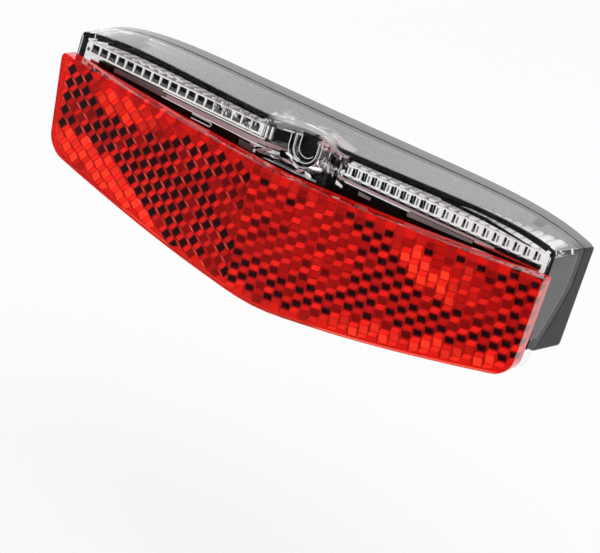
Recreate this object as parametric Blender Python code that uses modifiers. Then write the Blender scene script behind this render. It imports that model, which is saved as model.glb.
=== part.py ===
"""Bicycle rear light for a luggage rack, with a dynamo terminal.

A black back housing carries two captive bolts in slots. A clear cover closes it, with two toothed
light guides behind its window, and a red reflector with cube-corner prisms sits on the cover's front.

Metres. +X is right seen from the front, -Y is the front, +Z is up. The back plate lies on y = 0, and
the origin is midway between the two bolts.
"""

import math

import bmesh
import bpy
from mathutils import Matrix, Vector

# Clearance between neighbouring pieces
GAP = 0.0003
# How far a cutter reaches past what it cuts
REACH = 0.01

# Body outline
HALF_WIDTH_BACK = 0.0528
END_TAPER = 0.0019
HALF_WIDTH_FRONT = HALF_WIDTH_BACK - END_TAPER
BODY_DEPTH = 0.0145
FRONT_BOW = 0.0012
LEAN_TOP_Z = 0.005
LEAN_SLOPE = 0.12
BACK_TOP_Z = 0.0126
BACK_TOP_RISE = 0.0006
BACK_TOP_DROP = 0.0036
FRONT_TOP_Z = 0.0109
FRONT_TOP_RISE = 0.0020
FRONT_TOP_DROP = 0.0029
# Bottom edge of the housing, from the middle to the end in quarters of the half width
BACK_BOTTOM_Z = (-0.0226, -0.0178, -0.0109, -0.0083, -0.0093)
CORNER_RADIUS = 0.0006
END_EDGE_RADIUS = 0.0009
BACK_EDGE_RADIUS = 0.0006
FRONT_EDGE_RADIUS = 0.0004
SECTIONS_PER_HALF = 15

# Walls
PLATE_THICKNESS = 0.0022
HOUSING_WALL = 0.0018
COVER_WALL = 0.0013
COVER_FRONT_WALL = 0.0013

# Joint line between the housing and the cover
JOINT_LINE_TOP_DEPTH = 0.0039
JOINT_LINE_BOTTOM_DEPTH = 0.0093
JOINT_LINE_BEND_Z = 0.003
JOINT_LINE_LOW_Z = -0.009
JOINT_LINE_POWER = 1.3

# Notch in the middle of the cover's window, with the collar round the centre lamp
NOTCH_HALF_WIDTH_FRONT = 0.0079
NOTCH_HALF_WIDTH_BACK = 0.0018
NOTCH_DEPTH = 0.255 * BODY_DEPTH
NOTCH_FLOOR_Z = 0.0030
COLLAR_HALF_WIDTH = 0.0028
COLLAR_WALL = 0.0007
COLLAR_BOTTOM_Z = 0.0043
COLLAR_TOP_Z = 0.0096
COLLAR_LENGTH = 0.0018

# Red reflector
RED_HALF_WIDTH_TOP = HALF_WIDTH_BACK - 0.0010
RED_HALF_WIDTH_BOTTOM = RED_HALF_WIDTH_TOP - 0.0010
RED_THICKNESS = 0.0033
RED_TOP_Z = 0.0026
RED_TOP_SLOPE = 0.0021
RED_TOP_CURVE = 0.0011
# Bottom edge, from the middle to the end in quarters of the half width
RED_BOTTOM_Z = (-0.0232, -0.0217, -0.0194, -0.0166, -0.0135)
RED_TOP_CORNER = 0.0005
RED_BOTTOM_CORNER = 0.0032
RED_EDGE_RADIUS = 0.0005
RED_RIM = 0.0017
RED_SKIN = 0.0011
RED_OVERHANG = 0.0004
PRISM_PITCH = 0.0024
# Zones where the cubes are turned half round: centre X and Z, half width and height, slant
TURNED_ZONES = (
    (-0.0330, -0.0135, 0.0230, 0.0038, -0.31),
    (-0.0310, 0.0015, 0.0110, 0.0042, -0.25),
    (0.0230, -0.0030, 0.0075, 0.0065, -0.60),
    (0.0370, -0.0150, 0.0190, 0.0022, 0.22),
    (0.0060, -0.0040, 0.0060, 0.0060, 0.50),
)

# Bolts, nuts and their slots
BOLT_SHARE = 0.4735
BOLT_X = BOLT_SHARE * HALF_WIDTH_BACK
SLOT_END_MARGIN = 0.0118
BOLT_TRAVEL = HALF_WIDTH_BACK - BOLT_X - SLOT_END_MARGIN
SHANK_RADIUS = 0.00245
BOLT_TIP_Y = 0.010
TIP_CHAMFER = 0.0006
HEAD_ACROSS_FLATS = 0.008
HEAD_HEIGHT = 0.0032
NUT_ACROSS_FLATS = 0.008
NUT_HEIGHT = 0.005
FLANGE_RADIUS = 0.0059
FLANGE_EDGE = 0.0009
FLANGE_SLOPE_HEIGHT = 0.0011
RAIL_THICKNESS = 0.0010
RAIL_END_MARGIN = 0.0014
ROUND_SEGMENTS = 40

# Groove across the middle of the back plate
GROOVE_HALF_LENGTH = 0.0125
GROOVE_WIDTH = 0.0004
GROOVE_DEPTH = 0.0003
GROOVE_Z = -0.00045

# Light guides and the tray under them
GUIDE_BOTTOM_Z = 0.0057
GUIDE_HEIGHT = 0.0026
GUIDE_BACK_Y = -0.0052
GUIDE_INNER_X = NOTCH_HALF_WIDTH_FRONT + 0.0017
GUIDE_OUTER_X = HALF_WIDTH_FRONT - COVER_WALL - 0.0010
GUIDE_FRONT_CLEARANCE = 0.0005
TOOTH_PITCH = 0.0020
TOOTH_DEPTH = 0.0010
RIB_DEPTH = 0.0003
TRAY_THICKNESS = 0.0007
TRAY_LIP_HEIGHT = 0.0004
TRAY_LIP_WIDTH = 0.0006

# Circuit board and what is on it
BOARD_THICKNESS = 0.0012
BOARD_STANDOFF = 0.0010
BOARD_RAIL_CLEARANCE = 0.0018
BOARD_STRIP_TOP_Z = 0.0092
BOARD_STRIP_BOTTOM_Z = 0.0009
BOARD_TONGUE_RIGHT_X = 0.0120
BOARD_CLEARANCE = 0.0008
BOSS_RADIUS = 0.0016
CAPACITOR_RADIUS = 0.0060
CAPACITOR_CLEARANCE = 0.0004
CAPACITOR_INSET = 0.0080
LAMP_Z = 0.0073
LAMP_BASE = 0.0028
LAMP_BASE_HEIGHT = 0.0010
LAMP_DOME_RADIUS = 0.0012
SIDE_LAMP_LENGTH = 0.0016
SIDE_LAMP_DEPTH = 0.0034
SIDE_LAMP_HEIGHT = 0.0024
SIDE_LAMP_GAP = 0.0004
RECTIFIER_SIZE = (0.0064, 0.0024, 0.0030)
RECTIFIER_Z = 0.0024
REGULATOR_SIZE = (0.0050, 0.0017, 0.0030)
REGULATOR_Z = 0.0023
RESISTOR_SIZE = (0.0032, 0.0007, 0.0016)
RESISTOR_PLACES = ((0.0020, 0.0030), (-0.0035, 0.0030))

# Terminal block in the back plate
TERMINAL_EDGE_SHARE = 0.339
TERMINAL_WIDTH = 0.0098
TERMINAL_LENGTH = 0.0139
TERMINAL_DEPTH = 0.0060
WINDOW_OFFSET = 0.0024
WINDOW_WIDTH = 0.0027
TALL_WINDOW = (0.0013, 0.0064)
SHORT_WINDOW = (0.0073, 0.0096)
WINDOW_DEPTH = 0.0046
MOUTH_START = 0.0104
MOUTH_MARGIN = 0.0012
MOUTH_DEPTH = 0.0034
POST_RADIUS = 0.0011
POST_STAND_OUT = 0.0008
CLIP_THICKNESS = 0.0004
CLIP_RISE = 0.0016


def new_collection(name):
    """A collection linked to the scene."""
    collection = bpy.data.collections.new(name)
    bpy.context.scene.collection.children.link(collection)
    return collection


def material(name, colour, roughness, metallic=0.0, transmission=0.0):
    """A Principled material in one colour."""
    made = bpy.data.materials.new(name)
    made.use_nodes = True
    shader = made.node_tree.nodes["Principled BSDF"]
    shader.inputs["Base Color"].default_value = (*colour, 1.0)
    shader.inputs["Roughness"].default_value = roughness
    shader.inputs["Metallic"].default_value = metallic
    shader.inputs["Transmission Weight"].default_value = transmission
    made.diffuse_color = (*colour, 1.0)
    return made


def add_object(name, mesh, collection, look=None, location=(0, 0, 0)):
    """An object for a mesh, smooth on its round faces and flat on the rest."""
    made = bpy.data.objects.new(name, mesh)
    made.location = location
    collection.objects.link(made)
    if look is not None:
        mesh.materials.append(look)
    if mesh.polygons:
        mesh.shade_smooth()
        mesh.set_sharp_from_angle(angle=math.radians(30))
    return made


def mesh_from_bmesh(name, bm):
    """A mesh with its doubles merged and its faces pointing outwards."""
    bmesh.ops.remove_doubles(bm, verts=bm.verts, dist=1e-6)
    bmesh.ops.recalc_face_normals(bm, faces=bm.faces)
    mesh = bpy.data.meshes.new(name)
    bm.to_mesh(mesh)
    bm.free()
    return mesh


def as_cutter(piece):
    """Marks an object as a cutter."""
    piece.hide_render = True
    piece.display_type = "WIRE"
    return piece


def boolean(target, cutter, operation="DIFFERENCE"):
    """A Boolean modifier of the target with a cutter."""
    modifier = target.modifiers.new(operation.lower(), "BOOLEAN")
    modifier.operation = operation
    modifier.solver = "EXACT"
    modifier.object = cutter


# Planes that an outline can be drawn in, each with the turn that takes a flat curve there
TURNS = {
    "XY": Matrix.Identity(4),
    "XZ": Matrix.Rotation(math.radians(90), 4, "X"),
    "YZ": Matrix.Rotation(math.radians(90), 4, "Z") @ Matrix.Rotation(math.radians(90), 4, "X"),
}


def plate(name, outlines, plane, low, high):
    """The mesh of a flat plate: a filled outline with its holes, between two heights across its plane."""
    curve = bpy.data.curves.new(name + "_outline", "CURVE")
    curve.dimensions = "2D"
    curve.fill_mode = "BOTH"
    curve.extrude = (high - low) / 2
    for outline in outlines:
        spline = curve.splines.new("POLY")
        spline.points.add(len(outline) - 1)
        for point, (u, v) in zip(spline.points, outline):
            point.co = (u, v, 0.0, 1.0)
        spline.use_cyclic_u = True
    holder = bpy.data.objects.new(curve.name, curve)
    bpy.context.scene.collection.objects.link(holder)
    evaluated = holder.evaluated_get(bpy.context.evaluated_depsgraph_get())
    filled = bpy.data.meshes.new_from_object(evaluated)
    bm = bmesh.new()
    bm.from_mesh(filled)
    middle = (high + low) / 2
    across = Vector((0, 0, -middle if plane == "XZ" else middle))
    bmesh.ops.transform(bm, matrix=TURNS[plane] @ Matrix.Translation(across), verts=bm.verts)
    bpy.data.objects.remove(holder)
    bpy.data.meshes.remove(filled)
    return mesh_from_bmesh(name, bm)


def box(name, low, high):
    """The mesh of a box between two corners."""
    bm = bmesh.new()
    bmesh.ops.create_cube(bm, size=1.0)
    size = [b - a for a, b in zip(low, high)]
    centre = [(a + b) / 2 for a, b in zip(low, high)]
    bmesh.ops.scale(bm, vec=size, verts=bm.verts)
    bmesh.ops.translate(bm, vec=centre, verts=bm.verts)
    return mesh_from_bmesh(name, bm)


def prism_along_y(name, radius, low, high, segments=ROUND_SEGMENTS, place=(0, 0)):
    """The mesh of a round or hexagonal bar along Y, with two of a hexagon's flats level."""
    bm = bmesh.new()
    bmesh.ops.create_cone(
        bm, cap_ends=True, segments=segments, radius1=radius, radius2=radius, depth=high - low
    )
    bmesh.ops.rotate(bm, matrix=Matrix.Rotation(math.radians(90), 3, "X"), verts=bm.verts)
    bmesh.ops.rotate(bm, matrix=Matrix.Rotation(math.radians(30), 3, "Y"), verts=bm.verts)
    bmesh.ops.translate(bm, vec=(place[0], (low + high) / 2, place[1]), verts=bm.verts)
    return mesh_from_bmesh(name, bm)


def turned(name, profile, collection, look=None, location=(0, 0, 0)):
    """An object turned about the Y axis from a profile of (radius, y), from the +Y end to the -Y end."""
    mesh = bpy.data.meshes.new(name)
    points = [(radius, y, 0.0) for radius, y in profile]
    mesh.from_pydata(points, [(i, i + 1) for i in range(len(points) - 1)], [])
    made = add_object(name, mesh, collection, look, location)
    screw = made.modifiers.new("turn", "SCREW")
    screw.axis = "Y"
    screw.steps = ROUND_SEGMENTS
    screw.render_steps = ROUND_SEGMENTS
    screw.use_merge_vertices = True
    screw.merge_threshold = 0.00001
    screw.use_smooth_shade = True
    return made


def through(knots, share):
    """The value at a share from 0 to 1 of a smooth even curve through evenly spaced knots."""
    last = len(knots) - 1
    place = min(share, 1.0) * last
    i = min(int(place), last - 1)
    u = place - i
    before = knots[i - 1] if i > 0 else knots[1]
    after = knots[i + 2] if i + 2 <= last else 2 * knots[last] - knots[last - 1]
    a, b = knots[i], knots[i + 1]
    slope_a, slope_b = (b - before) / 2, (after - a) / 2
    return (
        a * (2 * u**3 - 3 * u**2 + 1)
        + slope_a * (u**3 - 2 * u**2 + u)
        + b * (3 * u**2 - 2 * u**3)
        + slope_b * (u**3 - u**2)
    )


def corner_drop(distance, radius):
    """How far a rounded corner has come in at a distance from the end."""
    if distance >= radius:
        return 0.0
    return radius - math.sqrt(max(radius**2 - (radius - distance) ** 2, 0.0))


def half_width(y):
    """Half the body's width at a depth, as its ends close in towards the front."""
    return HALF_WIDTH_BACK + (HALF_WIDTH_FRONT - HALF_WIDTH_BACK) * (-y / BODY_DEPTH)


def end_distance(share):
    """How far a share of the half width lies from the end."""
    return (1 - share) * HALF_WIDTH_BACK


def back_top_z(share):
    """Height of the back plate's top edge."""
    curve = BACK_TOP_Z + BACK_TOP_RISE * share**2 - BACK_TOP_DROP * share**6
    return curve - corner_drop(end_distance(share), CORNER_RADIUS)


def front_top_z(share):
    """Height of the cover's front top edge."""
    curve = FRONT_TOP_Z + FRONT_TOP_RISE * share**2 - FRONT_TOP_DROP * share**6
    return curve - corner_drop(end_distance(share), CORNER_RADIUS)


def top_z(share, y):
    """Height of the body's top at a share of the half width and a depth."""
    return back_top_z(share) + (front_top_z(share) - back_top_z(share)) * (-y / BODY_DEPTH)


def back_bottom_z(share):
    """Height of the housing's bottom edge."""
    return through(BACK_BOTTOM_Z, share) + corner_drop(end_distance(share), CORNER_RADIUS)


def front_y(share, z=LEAN_TOP_Z):
    """Depth of the cover's front face, which bows in plan and leans back below the window."""
    return -BODY_DEPTH + FRONT_BOW * share**2 + LEAN_SLOPE * max(LEAN_TOP_Z - z, 0.0)


def red_top_z(share):
    """Height of the reflector's top edge."""
    return RED_TOP_Z + RED_TOP_SLOPE * share + RED_TOP_CURVE * share**2


def cover_bottom_z(share):
    """Height of the cover's bottom edge behind the reflector."""
    corner = corner_drop(end_distance(share), RED_BOTTOM_CORNER)
    return through(RED_BOTTOM_Z, share) + RED_OVERHANG + corner


def joint_line_y(z):
    """Depth of the joint line, shallow at the top of the ends and deep at the bottom."""
    fall = (JOINT_LINE_BEND_Z - z) / (JOINT_LINE_BEND_Z - JOINT_LINE_LOW_Z)
    share = min(max(fall, 0.0), 1.0) ** JOINT_LINE_POWER
    return -(JOINT_LINE_TOP_DEPTH + (JOINT_LINE_BOTTOM_DEPTH - JOINT_LINE_TOP_DEPTH) * share)


def section_shares():
    """Signed shares of the half width for the body's sections, closer together at the ends."""
    count = SECTIONS_PER_HALF
    return [math.copysign(math.sin(math.pi / 2 * abs(i) / count), i) for i in range(-count, count + 1)]


def loft(name, section, half_width_at):
    """The mesh through sections along X: section(share) lists (y, z), half_width_at(y, z) gives the end."""
    bm = bmesh.new()
    rings = []
    for signed in section_shares():
        ring = [bm.verts.new((signed * half_width_at(y, z), y, z)) for y, z in section(abs(signed))]
        rings.append(ring)
    for one, other in zip(rings, rings[1:]):
        for i in range(len(one)):
            j = (i + 1) % len(one)
            bm.faces.new((one[i], one[j], other[j], other[i]))
    bm.faces.new(rings[0])
    bm.faces.new(rings[-1])
    return mesh_from_bmesh(name, bm)


def body_half_width(y, z):
    """Half width of the body at a depth, whatever the height."""
    return half_width(y)


def housing_section(share):
    """Outer section of the housing, reaching past the joint line."""
    back = -corner_drop(end_distance(share), END_EDGE_RADIUS)
    front = -(JOINT_LINE_BOTTOM_DEPTH + END_EDGE_RADIUS)
    low, high = back_bottom_z(share), top_z(share, back)
    edge = BACK_EDGE_RADIUS
    cut = 0.29 * edge
    return [
        (back, low + edge),
        (back, high - edge),
        (back - cut, high - cut),
        (back - edge, high),
        (front, top_z(share, front)),
        (front, low),
        (back - edge, low),
        (back - cut, low + cut),
    ]


def cover_section(share):
    """Outer section of the cover, reaching back past the joint line."""
    back = -(JOINT_LINE_TOP_DEPTH - GAP)
    low = cover_bottom_z(share)
    flange_back = -(JOINT_LINE_BOTTOM_DEPTH - GAP)
    front, edge = front_y(share), FRONT_EDGE_RADIUS
    cut = 0.29 * edge
    high = front_top_z(share)
    return [
        (back, back_bottom_z(share)),
        (back, top_z(share, back)),
        (front + edge, high),
        (front + cut, high - cut),
        (front, high - edge),
        (front, LEAN_TOP_Z),
        (front_y(share, low) - cut, low + 2 * edge),
        (front_y(share, low) + 2 * edge, low),
        (flange_back, low + edge),
        (flange_back, back_bottom_z(share)),
    ]


def cavity_section(back, top_wall):
    """A function that gives the section of the space inside, from a back depth to the front wall."""

    def section(share):
        low = back_bottom_z(share) + HOUSING_WALL
        front = front_y(share) + COVER_FRONT_WALL
        return [
            (back, low),
            (back, top_z(share, back) - top_wall),
            (front, top_z(share, front) - top_wall),
            (front, LEAN_TOP_Z),
            (front_y(share, low) + COVER_FRONT_WALL, low),
        ]

    return section


def walled_half_width(wall):
    """A function that gives the half width inside a wall."""
    return lambda y, z: half_width(y) - wall


def joint_line_outline(side):
    """Outline in Y and Z of everything behind (side 1) or in front of (side -1) the joint line."""
    steps = 14
    high, low = BACK_TOP_Z + REACH, RED_BOTTOM_Z[0] - REACH
    span = JOINT_LINE_BEND_Z - JOINT_LINE_LOW_Z
    heights = [high] + [JOINT_LINE_BEND_Z - span * i / steps for i in range(steps + 1)] + [low]
    far = REACH if side > 0 else -(BODY_DEPTH + REACH)
    line = [(joint_line_y(z) + side * GAP / 2, z) for z in heights]
    return line + [(far, low), (far, high)]


def capsule(centre_low, centre_high, radius, steps=12):
    """Outline of a slot along its first axis between two end centres."""
    points = []
    for centre, start in ((centre_high, -90), (centre_low, 90)):
        for i in range(steps + 1):
            angle = math.radians(start + 180 * i / steps)
            points.append((centre + radius * math.cos(angle), radius * math.sin(angle)))
    return points


def trapezium(half_front, half_back, front, back):
    """Outline in X and Y of the notch."""
    return [(-half_front, front), (half_front, front), (half_back, back), (-half_back, back)]


def notch_mesh(name, wall):
    """The notch as a cutter, grown by a wall on its sides, back and floor."""
    slant = math.hypot(NOTCH_HALF_WIDTH_FRONT - NOTCH_HALF_WIDTH_BACK, NOTCH_DEPTH)
    run = (NOTCH_HALF_WIDTH_FRONT - NOTCH_HALF_WIDTH_BACK) / NOTCH_DEPTH
    sideways = wall * slant / NOTCH_DEPTH
    back = -BODY_DEPTH + NOTCH_DEPTH + wall
    front = -BODY_DEPTH - REACH
    half_back = NOTCH_HALF_WIDTH_BACK + sideways - run * wall
    half_front = half_back + run * (back - front)
    outline = trapezium(half_front, half_back, front, back)
    return plate(name, [outline], "XY", NOTCH_FLOOR_Z - wall, BACK_TOP_Z + REACH)


def collar_outline():
    """Outline in X and Z of the collar round the centre lamp: a U that is open at the top."""
    outer, inner = COLLAR_HALF_WIDTH, COLLAR_HALF_WIDTH - COLLAR_WALL
    centre = COLLAR_BOTTOM_Z + outer
    steps = 16
    angles = [math.radians(180 + 180 * i / steps) for i in range(steps + 1)]
    outside = [(outer * math.cos(a), centre + outer * math.sin(a)) for a in angles]
    inside = [(inner * math.cos(a), centre + inner * math.sin(a)) for a in reversed(angles)]
    return (
        [(-outer, COLLAR_TOP_Z)] + outside + [(outer, COLLAR_TOP_Z), (inner, COLLAR_TOP_Z)]
        + inside + [(-inner, COLLAR_TOP_Z)]
    )


def rail_ends():
    """The inner and outer end of the right-hand guide rails in X, past the bolt's head at both limits."""
    head_corner = HEAD_ACROSS_FLATS / 2 / math.cos(math.radians(30))
    return BOLT_X - head_corner - RAIL_END_MARGIN, BOLT_X + BOLT_TRAVEL + head_corner + RAIL_END_MARGIN


def slot_centres():
    """The end centres of the right-hand slot, which let the bolt run its travel."""
    return BOLT_X - GAP, BOLT_X + BOLT_TRAVEL + GAP


def terminal_frame():
    """The terminal block's frame: its edge point on the bottom outline and its across and inward axes."""
    step = 0.002
    share = TERMINAL_EDGE_SHARE
    rise = back_bottom_z(share + step) - back_bottom_z(share - step)
    across = Vector((-2 * step * HALF_WIDTH_BACK, rise)).normalized()
    inward = Vector((across.y, -across.x))
    if inward.y < 0:
        inward = -inward
    return Vector((-share * HALF_WIDTH_BACK, back_bottom_z(share))), across, inward


def terminal_outline(points):
    """Points of (across, down from the block's inner end) turned into X and Z."""
    edge, across, inward = terminal_frame()
    top = edge + inward * TERMINAL_LENGTH
    return [tuple(top + across * u - inward * v) for u, v in points]


def rectangle(half_width_u, low_v, high_v, centre_u=0.0):
    """A rectangle as points."""
    left, right = centre_u - half_width_u, centre_u + half_width_u
    return [(left, low_v), (right, low_v), (right, high_v), (left, high_v)]


def window(low_v, high_v, centre_u, steps=12):
    """A window with a round inner end and a straight outer end."""
    radius = WINDOW_WIDTH / 2
    rise = min(radius, high_v - low_v - GAP)
    arc = []
    for i in range(steps + 1):
        angle = math.pi * i / steps
        arc.append((centre_u - radius * math.cos(angle), low_v + rise - rise * math.sin(angle)))
    return arc + [(centre_u + radius, high_v), (centre_u - radius, high_v)]


def make_housing(parts, cutters, look):
    """The black back housing: a tray with two slots, guide rails, bosses and the terminal's opening."""
    housing = add_object("rear_housing", loft("rear_housing", housing_section, body_half_width), parts, look)
    inside_section = cavity_section(-PLATE_THICKNESS, HOUSING_WALL)
    inside = loft("housing_space", inside_section, walled_half_width(HOUSING_WALL))
    boolean(housing, as_cutter(add_object("housing_space", inside, cutters)))
    behind = plate("behind_joint", [joint_line_outline(1)], "YZ", -HALF_WIDTH_BACK - REACH, HALF_WIDTH_BACK + REACH)
    boolean(housing, as_cutter(add_object("behind_joint", behind, cutters)), "INTERSECT")

    head_half = HEAD_ACROSS_FLATS / 2
    rail_low, rail_high = rail_ends()
    rail_front = -(PLATE_THICKNESS + GAP + HEAD_HEIGHT)
    rail_inner = head_half + GAP
    rail_outer = rail_inner + RAIL_THICKNESS
    inside_plate = -PLATE_THICKNESS / 2
    for side in (-1, 1):
        xs = sorted((side * rail_low, side * rail_high))
        for rail in (-1, 1):
            zs = sorted((rail * rail_inner, rail * rail_outer))
            name = f"rail_{'left' if side < 0 else 'right'}_{'low' if rail < 0 else 'high'}"
            mesh = box(name, (xs[0], rail_front, zs[0]), (xs[1], inside_plate, zs[1]))
            boolean(housing, as_cutter(add_object(name, mesh, cutters)), "UNION")
    boss_front = -(PLATE_THICKNESS + BOARD_STANDOFF - GAP)
    for i, place in enumerate(boss_places()):
        mesh = prism_along_y(f"boss_{i}", BOSS_RADIUS, boss_front, inside_plate, 24, place)
        boolean(housing, as_cutter(add_object(f"boss_{i}", mesh, cutters)), "UNION")

    low, high = slot_centres()
    slot_radius = SHANK_RADIUS + GAP
    for side, name in ((-1, "slot_left"), (1, "slot_right")):
        centres = sorted((side * low, side * high))
        mesh = plate(name, [capsule(*centres, slot_radius)], "XZ", -PLATE_THICKNESS - GAP, REACH)
        boolean(housing, as_cutter(add_object(name, mesh, cutters)))
    groove_low = (-GROOVE_HALF_LENGTH, -GROOVE_DEPTH, GROOVE_Z - GROOVE_WIDTH / 2)
    groove_high = (GROOVE_HALF_LENGTH, REACH, GROOVE_Z + GROOVE_WIDTH / 2)
    groove = box("groove", groove_low, groove_high)
    boolean(housing, as_cutter(add_object("groove", groove, cutters)))
    opening_points = rectangle(TERMINAL_WIDTH / 2 + GAP, -GAP, TERMINAL_LENGTH + REACH)
    opening = plate("terminal_opening", [terminal_outline(opening_points)], "XZ", -TERMINAL_DEPTH - GAP, REACH)
    boolean(housing, as_cutter(add_object("terminal_opening", opening, cutters)))


def boss_places():
    """Where the circuit board's bosses stand, in X and Z."""
    edge = BOSS_RADIUS * 1.6
    high = BOARD_STRIP_TOP_Z - edge
    out = board_half_width() - edge
    return (-out, high), (out, high), (BOARD_TONGUE_RIGHT_X - edge, board_bottom_z() + 2 * edge)


def make_cover(parts, cutters, look):
    """The clear cover: window, top and ends in one moulding, with a flange behind the reflector."""
    cover = add_object("front_cover", loft("front_cover", cover_section, body_half_width), parts, look)
    notch = as_cutter(add_object("notch", notch_mesh("notch", 0.0), cutters))
    boolean(cover, notch)
    grown = as_cutter(add_object("notch_grown", notch_mesh("notch_grown", COVER_WALL), cutters))
    inside = loft("cover_space", cavity_section(-PLATE_THICKNESS, COVER_WALL), walled_half_width(COVER_WALL))
    space = as_cutter(add_object("cover_space", inside, cutters))
    boolean(space, grown)
    boolean(cover, space)
    before = plate("before_joint", [joint_line_outline(-1)], "YZ", -HALF_WIDTH_BACK - REACH, HALF_WIDTH_BACK + REACH)
    boolean(cover, as_cutter(add_object("before_joint", before, cutters)), "INTERSECT")
    back = -BODY_DEPTH + NOTCH_DEPTH
    collar = plate("collar", [collar_outline()], "XZ", back - COLLAR_LENGTH, back + COVER_WALL / 2)
    boolean(cover, as_cutter(add_object("collar", collar, cutters)), "UNION")


def red_half_width(share_up):
    """Half width of the reflector, a share of the way up from its bottom corner to its top corner."""
    return RED_HALF_WIDTH_BOTTOM + (RED_HALF_WIDTH_TOP - RED_HALF_WIDTH_BOTTOM) * share_up


def red_heights(share, inset):
    """Bottom and top height of the reflector at a share of its half width, brought in by an inset."""
    width = RED_HALF_WIDTH_BOTTOM - inset
    distance = (1 - share) * width
    outer_share = share * width / RED_HALF_WIDTH_BOTTOM
    low = through(RED_BOTTOM_Z, outer_share) + inset
    low += corner_drop(distance, max(RED_BOTTOM_CORNER - inset, RED_EDGE_RADIUS))
    high = red_top_z(outer_share) - inset
    high -= corner_drop(distance, max(RED_TOP_CORNER - inset, RED_EDGE_RADIUS))
    return low, high


def red_back_y(share, z):
    """Depth of the reflector's back, seated on the cover's front."""
    return front_y(share, z) - GAP


def red_section(share):
    """Section of the reflector's outer form."""
    low, high = red_heights(share, 0.0)
    edge = RED_EDGE_RADIUS
    cut = 0.29 * edge
    thickness = RED_THICKNESS
    return [
        (red_back_y(share, low), low),
        (red_back_y(share, LEAN_TOP_Z) if high > LEAN_TOP_Z else red_back_y(share, high), high),
        (red_back_y(share, high) - thickness + edge, high),
        (red_back_y(share, high) - thickness + cut, high - cut),
        (red_back_y(share, high) - thickness, high - edge),
        (red_back_y(share, low) - thickness, low + edge),
        (red_back_y(share, low) - thickness + cut, low + cut),
        (red_back_y(share, low) - thickness + edge, low),
    ]


def red_width_at(inset):
    """A function that gives the reflector's half width at a height, brought in by an inset."""
    low, high = RED_BOTTOM_Z[-1], red_top_z(1.0)

    def width(y, z):
        share_up = min(max((z - low) / (high - low), 0.0), 1.0)
        return red_half_width(share_up) - inset

    return width


def pan_section(share):
    """Section of the space in the reflector's back, inside its rim."""
    low, high = red_heights(share, RED_RIM)
    behind = REACH / 2
    return [
        (red_back_y(share, low) - RED_THICKNESS + RED_EDGE_RADIUS, low),
        (red_back_y(share, low) + behind, low),
        (red_back_y(share, high) + behind, high),
        (red_back_y(share, high) - RED_THICKNESS + RED_EDGE_RADIUS, high),
    ]


def is_turned(x, z):
    """Whether a spot of the reflector lies in a zone whose cubes are turned half round."""
    for centre_x, centre_z, half_x, half_z, slant in TURNED_ZONES:
        along = (x - centre_x) / half_x
        across = (z - centre_z - slant * (x - centre_x)) / half_z
        if along**2 + across**2 < 1:
            return True
    return False


def prism_field_mesh(name):
    """The space behind the cube corners: square faces on three levels of a triangular lattice.

    A point's level is its colour in the lattice's three-colouring. In the turned zones the levels run
    the other way round, which widens the angles that the reflector sends light back to.
    """
    side = PRISM_PITCH / math.sqrt(3)
    level_height = PRISM_PITCH / math.sqrt(6)
    row_height = side * math.sqrt(3) / 2
    middle_z = (RED_BOTTOM_Z[0] + red_top_z(1.0)) / 2
    half_x = RED_HALF_WIDTH_TOP
    half_z = (red_top_z(1.0) - RED_BOTTOM_Z[0]) / 2
    bm = bmesh.new()
    made = {}

    def vertex(i, j):
        if (i, j) not in made:
            x, z = (i + j / 2) * side, j * row_height + middle_z
            level = (i - j) % 3 if is_turned(x, z) else (j - i) % 3
            front = red_back_y(min(abs(x) / HALF_WIDTH_BACK, 1.0), z) - RED_THICKNESS + RED_SKIN
            made[i, j] = bm.verts.new((x, front + level * level_height, z))
        return made[i, j]

    rows = int(half_z / row_height) + 1
    for j in range(-rows, rows):
        start, end = (int(way * half_x / side - j / 2) + way for way in (-1, 1))
        for i in range(start, end):
            bm.faces.new((vertex(i, j), vertex(i + 1, j), vertex(i, j + 1)))
            bm.faces.new((vertex(i + 1, j), vertex(i + 1, j + 1), vertex(i, j + 1)))
    grown = bmesh.ops.extrude_face_region(bm, geom=bm.faces[:])
    for element in grown["geom"]:
        if isinstance(element, bmesh.types.BMVert):
            element.co.y = REACH
    return mesh_from_bmesh(name, bm)


def make_reflector(parts, cutters, look):
    """The red reflector: a smooth front skin, a rim and a field of cube-corner prisms in its back."""
    mesh = loft("red_reflector", red_section, red_width_at(0.0))
    reflector = add_object("red_reflector", mesh, parts, look)
    pan = as_cutter(add_object("pan", loft("pan", pan_section, red_width_at(RED_RIM)), cutters))
    field = as_cutter(add_object("prism_field", prism_field_mesh("prism_field"), cutters))
    boolean(pan, field, "INTERSECT")
    boolean(reflector, pan)


def guide_front_y(x):
    """Depth of the light guides' front edge, behind the cover's window."""
    return front_y(abs(x) / half_width(-BODY_DEPTH)) + COVER_FRONT_WALL + GUIDE_FRONT_CLEARANCE


def guide_outline(side):
    """Outline in X and Y of a light guide: teeth along its back and shallow ribs along its front."""
    count = int((GUIDE_OUTER_X - GUIDE_INNER_X) / TOOTH_PITCH)
    teeth, ribs = [], []
    for i in range(count):
        start = GUIDE_INNER_X + i * TOOTH_PITCH
        teeth.append((start, GUIDE_BACK_Y - TOOTH_DEPTH))
        teeth.append((start + TOOTH_PITCH * 0.72, GUIDE_BACK_Y))
        ribs.append((start, guide_front_y(start) + RIB_DEPTH))
        ribs.append((start + TOOTH_PITCH / 2, guide_front_y(start + TOOTH_PITCH / 2)))
    teeth.append((GUIDE_OUTER_X, GUIDE_BACK_Y - TOOTH_DEPTH))
    ribs.append((GUIDE_OUTER_X, guide_front_y(GUIDE_OUTER_X) + RIB_DEPTH))
    return [(side * x, y) for x, y in teeth + ribs[::-1]]


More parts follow.
